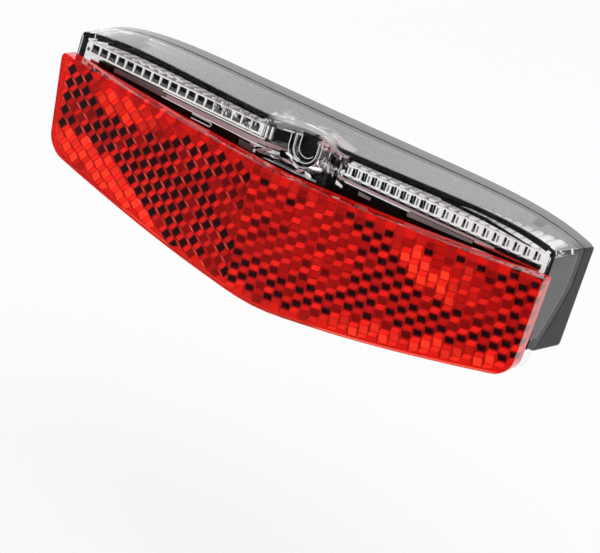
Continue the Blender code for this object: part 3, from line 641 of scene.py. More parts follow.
@dataclass(frozen=True)
class Finish:
    """A finish as a Principled material: plain values, grain, scratches and dust, and painted light: a glow,
    a glint round the notch and a metal's dark reflection.
    """

    name: str
    colour: Colour
    roughness: float
    second_colour: Colour | None = None
    metallic: float = 0.0
    transmission: float = 0.0
    ior: float = 1.5
    specular: float = 0.5
    grain: float = 0.0
    grains_per_metre: float = 3000.0
    scratches: float = 0.0
    dust: float = 0.0
    roughness_spread: float = 0.05
    coat: float = 0.0
    coat_ior: float = 1.5
    end_coat: float = 0.0
    painted_glow: float = 0.0
    tint: float = 1.0
    attribute: str = ""
    painted_dark_reflection: float = 0.0
    painted_glint: float = 0.0

    def toned(self, kit: NodeKit, spread: Socket) -> Socket:
        """The colour before dust: two tones, the facets' painted reflection and shade, and a metal's painted
        dark reflection.

        Args:
            kit: A kit for the material's tree.
            spread: The grain's slow waviness.

        Returns:
            The colour.
        """
        low, high = self.second_colour or tuple(c * LOW_TONE for c in self.colour), self.colour
        toned = kit.blend(kit.math("MULTIPLY_ADD", spread, 0.5, 0.5, clamp=True), low, high)
        if self.attribute:
            read = kit.add("ShaderNodeAttribute", attribute_name=self.attribute)
            toned = kit.blend(FacetFrame.add_to(kit)["Mask"], toned, read.outputs["Color"])
        # Painted reflection: a bright metal's level, sideways faces are darkened as if they showed dark
        # surroundings.
        if self.painted_dark_reflection:
            reflected_dark = PaintedDarkReflection.add_to(kit, Amount=self.painted_dark_reflection)["Mask"]
            toned = kit.blend(reflected_dark, toned, PAINTED_REFLECTION_DARK)
        return toned

    def build(self) -> bpy.types.Material:
        """Builds the material, or returns it if it is already built.

        Returns:
            The material.
        """
        if self.name in bpy.data.materials:
            return bpy.data.materials[self.name]
        made = bpy.data.materials.new(self.name)
        made.use_nodes = True
        kit = NodeKit(made.node_tree)
        into = made.node_tree.nodes["Principled BSDF"].inputs
        plain = {
            "Metallic": self.metallic,
            "Transmission Weight": self.transmission,
            "IOR": self.ior,
            "Specular IOR Level": self.specular,
            "Specular Tint": (self.tint, self.tint, self.tint, 1.0),
        }
        for label, value in plain.items():
            into[label].default_value = value
        grain = MouldedGrain.add_to(kit, Grains_per_Metre=self.grains_per_metre)
        marks = HairScratches.add_to(kit, Amount=self.scratches)["Mask"]
        dust = SettledDust.add_to(kit, Amount=self.dust)["Mask"]
        spread = grain["Spread"]
        toned = self.toned(kit, spread)
        kit.put(kit.blend(dust, toned, DUST), into["Base Color"])
        varied = kit.math("MULTIPLY_ADD", spread, self.roughness_spread, self.roughness)
        worn = kit.math("MULTIPLY_ADD", marks, SCRATCH_ROUGHNESS, varied)
        dull = kit.math("MULTIPLY_ADD", dust, DUST_ROUGHNESS, worn, clamp=True)
        kit.put(kit.math("MAXIMUM", dull, 0.0), into["Roughness"])
        if self.grain:
            given = {"Strength": 1.0, "Distance": self.grain, "Height": grain["Height"]}
            kit.put(kit.node("ShaderNodeBump", given), into["Normal"])
        if self.coat:
            faces = FaceMask.add_to(kit)
            ends = kit.product(faces["End"], self.end_coat)
            kit.put(kit.math("MAXIMUM", kit.product(faces["Up"], self.coat), ends), into["Coat Weight"])
            into["Coat IOR"].default_value = self.coat_ior
            into["Coat Roughness"].default_value = COAT_ROUGHNESS
        # Painted light: a glint round the notch, given as emission on the clear cover.
        if self.painted_glint:
            glint_mask = NotchPaintedGlint.add_to(kit, Amount=self.painted_glint)["Mask"]
            kit.put(kit.blend(glint_mask, (0.0, 0.0, 0.0), PAINTED_GLINT), into["Emission Color"])
            into["Emission Strength"].default_value = 1.0
        # Painted light: the part glows with its own colour, though it is no lamp.
        if self.painted_glow:
            kit.put(toned, into["Emission Color"])
            into["Emission Strength"].default_value = self.painted_glow
        return made


# Painted light: the finishes with a painted glow emit their own colour though none is a lamp: the prism
# field, the red sheet, the guides and their top plates, the frosted white and pink pieces and crystals, and
# the bright rims.
PRISM_RED = Finish(
    "prism_red", (0.36, 0.014, 0.014), 0.30, (0.26, 0.009, 0.010), attribute="facet", specular=0.1, painted_glow=0.57
)
SHEET_RED = Finish("sheet_red", (0.74, 0.036, 0.024), 0.4, (0.44, 0.016, 0.014), specular=0.1, painted_glow=0.62)
# The clear cover carries a painted glint round its notch.
CLEAR_COVER = Finish(
    "clear_cover",
    (0.95, 0.965, 0.965),
    0.012,
    (0.93, 0.945, 0.945),
    transmission=1.0,
    scratches=0.12,
    dust=0.02,
    roughness_spread=0.008,
    ior=1.3,
    tint=0.05,
    coat=1.0,
    coat_ior=1.7,
    end_coat=0.3,
    painted_glint=0.45,
)
CLEAR_GUIDE = Finish(
    "clear_guide", (0.93, 0.92, 0.92), 0.10, (0.86, 0.81, 0.82), roughness_spread=0.04, painted_glow=0.34
)
GUIDE_TOP = Finish("guide_top", (0.74, 0.67, 0.69), 0.15, (0.50, 0.42, 0.44), painted_glow=0.16)
FROST_WHITE = Finish("frost_white", (0.92, 0.92, 0.92), 0.3, (0.84, 0.82, 0.83), painted_glow=0.35)
FROST_PINK = Finish("frost_pink", (0.62, 0.44, 0.46), 0.25, (0.42, 0.26, 0.28), painted_glow=0.1)
FROST_BROWN = Finish("frost_brown", (0.22, 0.13, 0.135), 0.3, (0.13, 0.075, 0.08))
FROST_GREY = Finish("frost_grey", (0.34, 0.34, 0.34), 0.25, (0.24, 0.24, 0.25))
GLOSS_BLACK = Finish("gloss_black", (0.002, 0.004, 0.005), 0.25, specular=0.12)
CRYSTAL = Finish(
    "crystal", (0.97, 0.96, 0.97), 0.01, (0.95, 0.93, 0.94), transmission=1.0, roughness_spread=0.01
)
RIM_BRIGHT = Finish("rim_bright", (0.90, 0.90, 0.91), 0.12, (0.80, 0.79, 0.80), metallic=0.6, painted_glow=0.15)
GUIDE_SHADE = Finish("guide_shade", (0.13, 0.15, 0.155), 0.25, (0.07, 0.08, 0.085))
RED_LENS = Finish(
    "red_lens",
    (0.98, 0.15, 0.09),
    0.02,
    (0.97, 0.13, 0.08),
    transmission=1.0,
    scratches=0.10,
    roughness_spread=0.01,
    tint=0.05,
    coat=1.0,
    end_coat=0.6,
    ior=1.42,
)
BLACK_HOUSING = Finish(
    "black_housing",
    (0.030, 0.034, 0.036),
    0.42,
    (0.024, 0.027, 0.029),
    grain=0.00003,
    scratches=0.15,
    dust=0.05,
    coat=1.0,
    coat_ior=2.0,
    specular=0.12,
)
BLACK_INSIDE = Finish("black_inside", (0.004, 0.005, 0.006), 0.6, grain=0.00002, specular=0.05)
BRIGHT_TRAY = Finish("tray_mirror", (0.86, 0.86, 0.87), 0.10, metallic=1.0, scratches=0.1)
# Zinc and brass carry a painted dark reflection on their level, sideways faces.
ZINC = Finish(
    "zinc_polished",
    (0.74, 0.75, 0.77),
    0.17,
    (0.66, 0.67, 0.70),
    metallic=1.0,
    grain=0.000006,
    grains_per_metre=1500.0,
    scratches=0.4,
    roughness_spread=0.06,
    painted_dark_reflection=0.93,
)
BRASS = Finish(
    "brass_polished", (0.76, 0.66, 0.42), 0.22, (0.66, 0.55, 0.34), metallic=1.0, scratches=0.3, painted_dark_reflection=0.6
)
BOARD_DARK = Finish("board_dark", (0.016, 0.030, 0.026), 0.32, (0.012, 0.022, 0.020), grain=0.00002)
LAMP_WHITE = Finish("lamp_white", (0.90, 0.88, 0.78), 0.22, (0.86, 0.82, 0.68))
CHIP_BLACK = Finish("chip_black", (0.035, 0.035, 0.04), 0.45, grain=0.00003)
SLEEVE = Finish("sleeve_film", (0.04, 0.05, 0.09), 0.3, (0.03, 0.04, 0.07))
TERMINAL_BLACK = Finish(
    "terminal_black", (0.026, 0.028, 0.030), 0.36, grain=0.00003, scratches=0.2, dust=0.04
)


def finish_piece(
    made: bpy.types.Object, replaced: Iterable[str] = (), body: Body = Body.LIGHT
) -> None:
    """Lets a finished piece ride on its body and hides what it stands for.

    Args:
        made: The piece, at the origin.
        replaced: CAD nodes that it stands for.
        body: The body that it rides on.
    """
    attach(made, body.value)
    if replaced:
        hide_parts(*replaced)
    LOG.info("%s: %d faces on %s", made.name, len(made.data.polygons), body.value)


def linked(name: str, data: bpy.types.ID) -> bpy.types.Object:
    """A new object for a mesh, a lamp or a camera, at the origin of the scene.

    Args:
        name: The object's name.
        data: What it shows.

    Returns:
        The object.
    """
    made = bpy.data.objects.new(name, data)
    bpy.context.scene.collection.objects.link(made)
    return made


def new_piece(name: str, mesh: bpy.types.Mesh, finish: Finish) -> bpy.types.Object:
    """An object at the origin for a mesh, with its material.

    Args:
        name: The piece's name.
        mesh: Its mesh.
        finish: Its finish.

    Returns:
        The piece, not yet riding.
    """
    mesh.materials.clear()
    mesh.materials.append(finish.build())
    return linked(name, mesh)


def weighted_normals(mesh: bpy.types.Mesh, angle: float) -> None:
    """Gives a mesh smooth normals that follow its large faces.

    Args:
        mesh: The mesh.
        angle: The angle in degrees past which faces do not blend.
    """
    mesh.shade_smooth()
    limit = math.cos(math.radians(angle))
    around: list[list[tuple[Vector, float]]] = [[] for _ in mesh.vertices]
    for face in mesh.polygons:
        for vertex in face.vertices:
            around[vertex].append((face.normal.copy(), face.area))
    normals = []
    for face in mesh.polygons:
        own = face.normal.copy()
        for vertex in face.vertices:
            total = own * 1e-12
            for normal, area in around[vertex]:
                if normal.dot(own) >= limit:
                    total += normal * area
            normals.append(total.normalized())
    mesh.normals_split_custom_set(normals)


def close_piece(
    name: str,
    bm: bmesh.types.BMesh,
    finish: Finish,
    replaced: Iterable[str] = (),
    angle: float = 35.0,
) -> None:
    """Turns a built shape into a finished piece on the light, smooth, with its faces outwards.

    Args:
        name: The piece's name.
        bm: Its shape, which is used up.
        finish: Its finish.
        replaced: CAD nodes that it stands for.
        angle: The angle in degrees past which its faces do not blend.
    """
    bmesh.ops.remove_doubles(bm, verts=bm.verts, dist=1e-6)
    bmesh.ops.recalc_face_normals(bm, faces=bm.faces)
    mesh = bpy.data.meshes.new(name)
    bm.to_mesh(mesh)
    bm.free()
    weighted_normals(mesh, angle)
    finish_piece(new_piece(name, mesh, finish), replaced)


def join_rings(bm: bmesh.types.BMesh, rings: Sequence[Sequence[bmesh.types.BMVert]]) -> None:
    """Closes rings of points into one solid, with a face at each end.

    Args:
        bm: The mesh being built.
        rings: Rings with the same number of points.
    """
    for one, other in zip(rings, rings[1:]):
        for i in range(len(one)):
            j = (i + 1) % len(one)
            bm.faces.new((one[i], one[j], other[j], other[i]))
    bm.faces.new(rings[0])
    bm.faces.new(rings[-1])


def add_sweep(bm: bmesh.types.BMesh, xs: Sequence[float], section: Callable[[float], Section]) -> None:
    """Adds a closed solid through sections of (y, z) along X.

    Args:
        bm: The mesh being built.
        xs: The places of the sections.
        section: A function that gives the section at an x.
    """
    join_rings(bm, [[bm.verts.new((x, y, z)) for y, z in section(x)] for x in xs])


def smooth_copy(node: str, name: str, finish: Finish, angle: float = 30.0) -> bpy.types.Object:
    """A merged and smoothed copy of a CAD node's mesh.

    Args:
        node: The CAD node.
        name: The new piece's name.
        finish: Its finish.
        angle: The angle in degrees past which an edge stays sharp.

    Returns:
        The new piece, not yet riding.
    """
    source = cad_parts[node].data
    mesh = bpy.data.meshes.new(name)
    mesh.from_pydata([v.co for v in source.vertices], [], [p.vertices[:] for p in source.polygons])
    bm = bmesh.new()
    bm.from_mesh(mesh)
    bmesh.ops.remove_doubles(bm, verts=bm.verts, dist=2e-6)
    bm.to_mesh(mesh)
    bm.free()
    weighted_normals(mesh, angle)
    return new_piece(name, mesh, finish)


class ShapeTree:
    """A Geometry Nodes tree with named inputs that ends in real geometry with its material."""

    name: str
    inputs: dict[str, object]

    @classmethod
    def shape(cls, kit: NodeKit, given: Outputs) -> Socket:
        """Wires the shape from the tree's inputs and returns it."""
        raise NotImplementedError

    @classmethod
    def tree(cls) -> bpy.types.NodeTree:
        """The tree, built at its first use.

        Returns:
            The tree.
        """
        if cls.name in bpy.data.node_groups:
            return bpy.data.node_groups[cls.name]
        inputs = cls.inputs | {"Material": None}
        kit = new_tree(cls.name, "GeometryNodeTree", inputs, ["Geometry"], "NodeSocketGeometry")
        given = kit.add("NodeGroupInput").outputs
        real = kit.node("GeometryNodeRealizeInstances", {0: cls.shape(kit, given)})
        dressed = kit.node("GeometryNodeSetMaterial", {"Geometry": real, "Material": given["Material"]})
        kit.put(dressed, kit.add("NodeGroupOutput").inputs[0])
        return kit.tree

    @classmethod
    def bake(cls, name: str, finish: Finish, values: dict[str, object]) -> bpy.types.Object:
        """Evaluates the tree on an empty mesh and keeps the result as a plain mesh.

        Args:
            name: The piece's name.
            finish: Its finish.
            values: Inputs by label.

        Returns:
            A piece with the plain mesh and no modifier, not yet riding.
        """
        tree = cls.tree()
        holder = linked(name + "_rule", bpy.data.meshes.new(name + "_rule"))
        rule = holder.modifiers.new("rule", "NODES")
        rule.node_group = tree
        sockets = {item.name: item.identifier for item in tree.interface.items_tree if item.in_out == "INPUT"}
        for label, value in (values | {"Material": finish.build()}).items():
            rule[sockets[label]] = value
        bpy.context.view_layer.update()
        evaluated = holder.evaluated_get(bpy.context.evaluated_depsgraph_get())
        mesh = bpy.data.meshes.new_from_object(evaluated)
        mesh.name = name
        bpy.data.objects.remove(holder)
        return linked(name, mesh)


@dataclass(frozen=True)
class Shell:
    """A CAD solid that is shown as a smooth copy of itself."""

    node: str
    name: str
    finish: Finish
    slot: str
    body: Body = Body.LIGHT

    def build(self) -> None:
        """Dresses the solid."""
        finish_piece(smooth_copy(self.node, self.name, self.finish), [self.node], self.body)


SHELLS = (
    Shell("rear_housing", "housing_shell", BLACK_HOUSING, "black_plastic"),
    Shell("front_cover", "cover_shell", CLEAR_COVER, "clear_plastic"),
)


PATCH_EDGE = (0.75, 1.15)


@dataclass(frozen=True)
class Patch:
    """An oval patch of the prism field, in millimetres, with its darkness from 1 black to -1 glaring: painted
    shade and painted glare of the prisms' reflections.
    """

    x: float
    z: float
    half_x: float
    half_z: float
    slant: float
    darkness: float

    def weight(self, x: float, z: float) -> float:
        """How much the patch holds at a place, in millimetres.

        Args:
            x: The place across.
            z: The height.

        Returns:
            A share from 0 to 1.
        """
        along = (x - self.x) / self.half_x
        across = (z - self.z - self.slant * (x - self.x)) / self.half_z
        return 1.0 - smooth_step(*PATCH_EDGE, math.hypot(along, across))


@dataclass(frozen=True)
class FacetLook:
    """Two colours with a facet's own between them, and how far its inner part reaches along its edges; the
    colours paint the light and shade that a prism sends back.
    """

    near: Colour
    far: Colour
    across: float
    along: float

    def colour(self, share: float) -> Colour:
        """The colour at a share of the way from near to far."""
        return tuple(a + (b - a) * share for a, b in zip(self.near, self.far))


CUBE_FACES = 6
# Facet colours: the red is the lens's own, and how light or dark each facet is stands for the light the
# prisms send back, as painted reflection and shade from glaring to nearly black.
PLAIN_RED = (0.42, 0.016, 0.018)
NEARLY_BLACK = (0.006, 0.0022, 0.007)
DARK_MAIN = FacetLook(PLAIN_RED, NEARLY_BLACK, 0.86, 0.86)
DARK_MAIN_SPUN = FacetLook(PLAIN_RED, NEARLY_BLACK, 0.94, 0.66)
GLARING_MAIN = FacetLook(PLAIN_RED, (1.0, 0.165, 0.085), 0.92, 0.90)
BRIGHT_SECOND = FacetLook((0.92, 0.060, 0.052), PLAIN_RED, 0.84, 0.74)
BRIGHT_SECOND_SPUN = FacetLook((0.92, 0.060, 0.052), PLAIN_RED, 0.96, 0.90)
WARM_SECOND = FacetLook((0.98, 0.090, 0.060), (0.66, 0.034, 0.028), 0.90, 0.86)
PALE_THIRD = FacetLook((0.66, 0.30, 0.31), (0.30, 0.03, 0.03), 0.9, 0.8)
DEEP_THIRD = FacetLook((0.34, 0.016, 0.016), (0.16, 0.006, 0.008), 1.0, 1.0)


class PrismTree(ShapeTree):
    """Cubes that stand on their corners in a lattice that follows the lens."""

    name = "prism_lattice"
    inputs = {
        "Columns": 51,
        "Rows": 13,
        "Column Pitch": 0.002,
        "Row Pitch": 0.0027,
        "Edge": 0.0016,
        "Stretch": 1.0,
        "Deep": 1.0,
        "Spin": 0.0,
        "Middle Y": 0.0,
        "Middle Z": 0.0,
        "Bow": 0.0,
        "Lean Top": 0.0,
        "Lean Slope": 0.0,
    }

    @staticmethod
    def corner_turn() -> Point:
        """The turn that stands a cube on its corner, one edge towards -X.

        Returns:
            Three angles in radians.
        """
        flat, deep = math.sqrt(2 / 3), math.sqrt(1 / 3)
        turns = [math.radians(a) for a in (60, 180, 300)]
        arms = [Vector((flat * math.cos(a), deep, flat * math.sin(a))) for a in turns]
        turn = Matrix(arms).transposed()
        if turn.determinant() < 0:
            turn = Matrix((arms[1], arms[0], arms[2])).transposed()
        return tuple(turn.to_euler())

    @classmethod
    def shape(cls, kit: NodeKit, given: Outputs) -> Socket:
        """Wires the lattice: points in columns, every other one half a row higher, with a cube on each.

        Args:
            kit: A kit for the tree.
            given: The tree's inputs, by name.

        Returns:
            The geometry.
        """
        index = kit.node("GeometryNodeInputIndex")
        column = kit.math("FLOOR", kit.math("DIVIDE", kit.math("ADD", index, 0.5), given["Rows"]))
        row = kit.math("SUBTRACT", index, kit.product(column, given["Rows"]))
        odd = kit.math("FLOORED_MODULO", column, 2.0)
        middle_column = kit.math("MULTIPLY_ADD", given["Columns"], 0.5, -0.5)
        middle_row = kit.math("MULTIPLY_ADD", given["Rows"], 0.5, -0.25)
        x = kit.product(kit.math("SUBTRACT", column, middle_column), given["Column Pitch"])
        height = kit.math("MULTIPLY_ADD", odd, 0.5, kit.math("SUBTRACT", row, middle_row))
        z = kit.math("MULTIPLY_ADD", height, given["Row Pitch"], given["Middle Z"])
        bowed = kit.math("MULTIPLY_ADD", kit.product(x, x), given["Bow"], given["Middle Y"])
        below = kit.math("MAXIMUM", kit.math("SUBTRACT", given["Lean Top"], z), 0.0)
        y = kit.math("MULTIPLY_ADD", below, given["Lean Slope"], bowed)
        count = kit.product(given["Columns"], given["Rows"])
        points = kit.node("GeometryNodePoints", {"Count": count, "Position": kit.combine(x, y, z)})
        edge = given["Edge"]
        cube = kit.node("GeometryNodeMeshCube", {"Size": kit.combine(edge, edge, edge)})
        stood = kit.transform(cube, Rotation=cls.corner_turn())
        spun = kit.transform(stood, Rotation=kit.combine(0.0, given["Spin"]))
        stretched = kit.transform(spun, Scale=kit.combine(1.0, given["Deep"], given["Stretch"]))
        return kit.node("GeometryNodeInstanceOnPoints", {"Points": points, "Instance": stretched})


@dataclass
class Reflector:
    """The red lens: a rounded body, the field of cube-corner prisms in it and the sheet behind them. The
    prisms' facets carry painted reflection and shade, and the prisms and the sheet glow as painted light.
    """

    half_width_top: float = 0.0518
    half_width_bottom: float = FORM.red_half_width_bottom
    thickness: float = 0.0033
    seat_gap: float = 0.0003
    edge_radius: float = 0.0005
    top_corner: float = 0.0005
    bottom_corner: float = 0.0032
    skin: float = 0.0002
    deep: float = 1.42
    middle_z: float = -0.0095
    field_split: float = -0.0080
    column_pitch: float = 0.0020
    row_pitch: float = 0.00269
    field_inset: float = 0.0008
    margin: float = 0.0006
    top_rim: float = 0.0020
    middle_rim: float = 0.0018
    middle_rim_x: float = 0.001
    middle_rim_half_width: float = 0.013
    rim_reach: float = 1.2
    rim_spread: float = 0.3
    top_rim_red: Colour = (0.36, 0.017, 0.017)
    middle_rim_red: Colour = (0.27, 0.018, 0.017)
    sheet_inset: float = 0.0001
    sheet_near: float = 0.0029
    sheet_far: float = 0.0032
    sheet_edge: float = 0.0001
    edge_steps: int = 4
    smooth_angle: float = 20.0
    columns: int = 51
    rows: int = 13
    seed: int = 5
    # Painted reflection and shade of the prisms: darkness from 1 black to -1 glaring.
    darkness_between: float = 0.93
    sure_above: float = 0.7
    sure_spread: float = 0.10
    loose_spread: float = 0.35
    main_facing: float = 0.3
    odd_above: float = 0.86
    odd_share: float = 0.45
    dark_gain: float = 1.3
    glare_gain: float = 1.2
    pale_above: float = 0.6
    front_facing: float = -0.05
    # Patches of painted shade (positive) and painted glare (negative) across the prism field.
    patches: tuple[Patch, ...] = (
        Patch(-4, -8, 11, 7, -0.3, 0.40),
        Patch(9, -7, 9, 9, 0.0, 0.30),
        Patch(0, 1.5, 12, 1.6, 0.0, 0.25),
        Patch(-46, -11, 6, 3.4, -0.12, -1.0),
        Patch(-38, -13.6, 7, 3.9, -0.38, -1.0),
        Patch(-30.5, -16.8, 6, 3.7, -0.5, -1.0),
        Patch(-24.5, -19.6, 4.5, 3.0, -0.6, -0.9),
        Patch(-36, 0.9, 9, 3.0, -0.05, -0.45),
        Patch(-27, 2.4, 5, 1.8, -0.2, -0.3),
        Patch(39, -3, 7, 4.5, -0.1, 0.05),
        Patch(30.5, -2.8, 7, 2.6, -0.35, -1.0),
        Patch(24, -18.6, 10, 2.3, 0.2, -0.7),
        Patch(39, -15.4, 10, 2.3, 0.22, -0.7),
        Patch(30, 2.6, 12, 1.3, 0.1, 0.1),
    )

    def heights(self, share: float, inset: float) -> tuple[float, float]:
        """Bottom and top height at a share of the half width, brought in by an inset.

        Args:
            share: A share from 0 in the middle to 1 at the end.
            inset: How far inside the lens's outline.

        Returns:
            Both heights.
        """
        width = self.half_width_bottom - inset
        distance = (1 - share) * width
        outer = share * width / self.half_width_bottom
        low = smooth_through(FORM.red_bottom_knots, outer) + inset
        low += corner_drop(distance, max(self.bottom_corner - inset, self.edge_radius))
        high = FORM.red_top(outer * self.half_width_top) - inset
        high -= corner_drop(distance, max(self.top_corner - inset, self.edge_radius))
        return low, high

    def heights_at(self, x: float, inset: float) -> tuple[float, float]:
        """Bottom and top height at a place across, brought in by an inset."""
        return self.heights(min(abs(x) / (self.half_width_bottom - inset), 1.0), inset)

    def half_width(self, z: float, inset: float = 0.0) -> float:
        """Half the lens's width at a height, brought in by an inset.

        Args:
            z: The height.
            inset: How far inside the lens's outline.

        Returns:
            The half width.
        """
        low, high = FORM.red_bottom_knots[-1], FORM.red_top(self.half_width_top)
        up = held((z - low) / (high - low))
        return self.half_width_bottom + (self.half_width_top - self.half_width_bottom) * up - inset

    def back_y(self, share: float, z: float) -> float:
        """Depth of the lens's back, seated on the cover's front."""
        return FORM.front_y(share * FORM.half_width_front, z) - self.seat_gap

    def shares(self, count: int = 24) -> list[float]:
        """Signed shares of the half width, closer together at the ends."""
        return [math.copysign(math.sin(math.pi / 2 * abs(i) / count), i) for i in range(-count, count + 1)]

    def slab(
        self, name: str, finish: Finish, inset: float, depths: tuple[float, float], radius: float, *nodes: str
    ) -> None:
        """Builds a rounded slab that follows the lens.

        Args:
            name: The piece's name.
            finish: Its finish.
            inset: How far its outline lies inside the lens's.
            depths: Its front and back, behind the lens's front.
            radius: Radius of its front edge.
            nodes: CAD nodes that it stands for.
        """
        bm = bmesh.new()
        rings = []
        turns = [math.radians(90 * i / self.edge_steps) for i in range(self.edge_steps + 1)]
        front, back = self.thickness - depths[0] - radius, self.thickness - depths[1]
        for signed in self.shares():
            share = abs(signed)
            low, high = self.heights(share, inset)
            points = [(back, low, low), (back, high, high)]
            for a in turns:
                points.append((front + radius * math.sin(a), high - radius + radius * math.cos(a), high))
            for a in reversed(turns):
                points.append((front + radius * math.sin(a), low + radius - radius * math.cos(a), low))
            ring = []
            for proud, z, edge in points:
                place = (signed * self.half_width(z, inset), self.back_y(share, edge) - proud, z)
                ring.append(bm.verts.new(place))
            rings.append(ring)
        join_rings(bm, rings)
        close_piece(name, bm, finish, nodes, self.smooth_angle)

    def darkness(self, x: float, z: float, chance: random.Random) -> float:
        """How dark the prisms' painted reflection is at a place, from 1 black to -1 glaring.

        Args:
            x: Place across, in metres.
            z: Height, in metres.
            chance: The seeded source of small differences between prisms.

        Returns:
            The darkness.
        """
        value = self.darkness_between
        for patch in self.patches:
            share = patch.weight(x / MM, z / MM)
            value = value * (1 - share) + patch.darkness * share
        spread = self.sure_spread if abs(value) > self.sure_above else self.loose_spread
        return held(value + chance.uniform(-spread, spread), -1.0, 1.0)

    def facet_look(
        self, normal: Vector, spun: bool, darkness: float, jitter: float
    ) -> tuple[FacetLook, float]:
        """The look of a facet, and the share of the way between its two colours, which paint its reflection
        and shade.

        Args:
            normal: The facet's outward direction.
            spun: Whether it belongs to the right-hand field.
            darkness: The darkness of its prism.
            jitter: A small difference of this facet, from -1 to 1.

        Returns:
            The look and the share.
        """
        main = (normal.z if spun else normal.x) > self.main_facing
        second = normal.z < -self.main_facing if spun else normal.z > 0
        share = 0.5 + 0.5 * jitter
        if abs(jitter) > self.odd_above:
            darkness *= self.odd_share
        if main and darkness > 0:
            return DARK_MAIN_SPUN if spun else DARK_MAIN, min(1.0, self.dark_gain * darkness)
        if main:
            return GLARING_MAIN, min(1.0, self.glare_gain * -darkness)
        if second and darkness > 0:
            return BRIGHT_SECOND_SPUN if spun else BRIGHT_SECOND, share
        if second:
            return WARM_SECOND, share
        return PALE_THIRD if darkness > self.pale_above and not spun else DEEP_THIRD, share

    def rim_colour(self, x: float, z: float, jitter: float) -> Colour | None:
        """The plain dark red of the rim along the top and below the middle, or None on the field itself.

        Args:
            x: The place across, in metres.
            z: The height, in metres.
            jitter: A small difference of this facet, from -1 to 1.

        Returns:
            The colour, or None.
        """
        low, high = self.heights_at(x, 0.0)
        if high - z < self.top_rim:
            base = self.top_rim_red
        elif z - low < self.middle_rim and abs(x - self.middle_rim_x) < self.middle_rim_half_width:
            base = self.middle_rim_red
        else:
            return None
        return tuple(part * (1 + self.rim_spread * jitter) for part in base)

    def lattice(self, spun: bool) -> dict[str, object]:
        """The inputs of the prism tree for one half of the field.

        Args:
            spun: Whether it is the right-hand half.

        Returns:
            The inputs by name.
        """
        across = self.column_pitch / math.cos(math.radians(30))
        edge = across / math.sqrt(2)
        front = -(FORM.depth + self.seat_gap + self.thickness) + self.skin
        return {
            "Columns": self.columns,
            "Rows": self.rows,
            "Column Pitch": self.column_pitch,
            "Row Pitch": self.row_pitch,
            "Edge": edge,
            "Stretch": self.row_pitch / across,
            "Deep": self.deep,
            "Spin": math.pi if spun else 0.0,
            "Middle Y": front + self.deep * edge * math.sqrt(3) / 2,
            "Middle Z": self.middle_z,
            "Bow": FORM.bow,
            "Lean Top": FORM.lean_top_z,
            "Lean Slope": FORM.lean_slope,
        }

    def holds(self, place: Vector, spun: bool) -> bool:
        """Whether a prism with its centre there belongs to one half of the field.

        Args:
            place: The prism's centre.
            spun: Whether it is the right-hand half.

        Returns:
            Whether it is kept there.
        """
        low, high = self.heights_at(place.x, self.field_inset)
        inside = low < place.z < high and abs(place.x) < self.half_width(place.z, self.field_inset)
        return inside and (place.x > self.field_split) == spun

    def dress_facet(
        self, layers: bmesh.types.BMLayerAccessLoop, face: bmesh.types.BMFace, look: FacetLook, share: float
    ) -> None:
        """Gives a facet its colour and the UVs that frame its inner part.

        Args:
            layers: The mesh's loop layers.
            face: The facet.
            look: Its look.
            share: The share of the way between the look's two colours.
        """
        loops = list(face.loops)
        first = loops[1].vert.co - loops[0].vert.co
        second = loops[2].vert.co - loops[1].vert.co
        sizes = (look.across, look.along) if abs(first.z) < abs(second.z) else (look.along, look.across)
        colour = (*look.colour(share), 1.0)
        for loop, (u, v) in zip(loops, ((-1, -1), (1, -1), (1, 1), (-1, 1))):
            loop[layers.float_color["facet"]] = colour
            loop[layers.uv["cell"]].uv = (u / sizes[0], v / sizes[1])

    def field(self, name: str, spun: bool, chance: random.Random) -> None:
        """Builds one half of the prism field and gives each facet its colour, which paints the prism's
        reflection and shade.

        Args:
            name: The piece's name.
            spun: Whether it is the right-hand field, whose prisms are turned half round.
            chance: The seeded source of small differences between prisms.
        """
        made = PrismTree.bake(name, PRISM_RED, self.lattice(spun))
        bm = bmesh.new()
        bm.from_mesh(made.data)
        bm.faces.ensure_lookup_table()
        layers = bm.loops.layers
        layers.float_color.new("facet")
        layers.uv.new("cell")
        gone = []
        for start in range(0, len(bm.faces), CUBE_FACES):
            faces = bm.faces[start : start + CUBE_FACES]
            corners = {vert for face in faces for vert in face.verts}
            centre = sum((vert.co for vert in corners), Vector()) / len(corners)
            if not self.holds(centre, spun):
                gone.extend(faces)
                continue
            darkness = self.darkness(centre.x, centre.z, chance)
            for face in faces:
                face.normal_update()
                if face.normal.y > self.front_facing:
                    gone.append(face)
                    continue
                jitter = chance.uniform(-1, 1)
                look, share = self.facet_look(face.normal, spun, darkness, jitter)
                rim = self.rim_colour(centre.x, centre.z, jitter)
                if rim:
                    look = FacetLook(rim, rim, self.rim_reach, self.rim_reach)
                self.dress_facet(layers, face, look, share)
        bmesh.ops.delete(bm, geom=gone, context="FACES")
        for vert in bm.verts:
            vert.co.z = held(vert.co.z, *self.heights_at(vert.co.x, self.margin))
            width = self.half_width(vert.co.z, self.margin)
            vert.co.x = held(vert.co.x, -width, width)
        bm.to_mesh(made.data)
        bm.free()
        finish_piece(made)

    def build(self) -> None:
        """Builds the lens, the prisms and the sheet behind them."""
        self.slab("reflector_lens", RED_LENS, 0.0, (0.0, self.thickness), self.edge_radius, "red_reflector")
        chance = random.Random(self.seed)
        self.field("prism_field_left", False, chance)
        self.field("prism_field_right", True, chance)
        depths = (self.sheet_near, self.sheet_far)
        self.slab("reflector_sheet", SHEET_RED, self.sheet_inset, depths, self.sheet_edge)


# A height above the leaning lower part of the front, where its depth depends on x alone.
HIGH_Z = 0.01


def wall_section(x: float, low: float, high: float, near: float, far: float) -> Section:
    """The section of a thin wall that follows the cover's front.

    Args:
        x: The place across.
        low: Its bottom height.
        high: Its top height.
        near: How far its front lies behind the cover's outer face.
        far: How far its back does.

    Returns:
        Four points of (y, z).
    """
    top, bottom = FORM.front_y(x, high), FORM.front_y(x, low)
    return [(top + near, high), (top + far, high), (bottom + far, low), (bottom + near, low)]


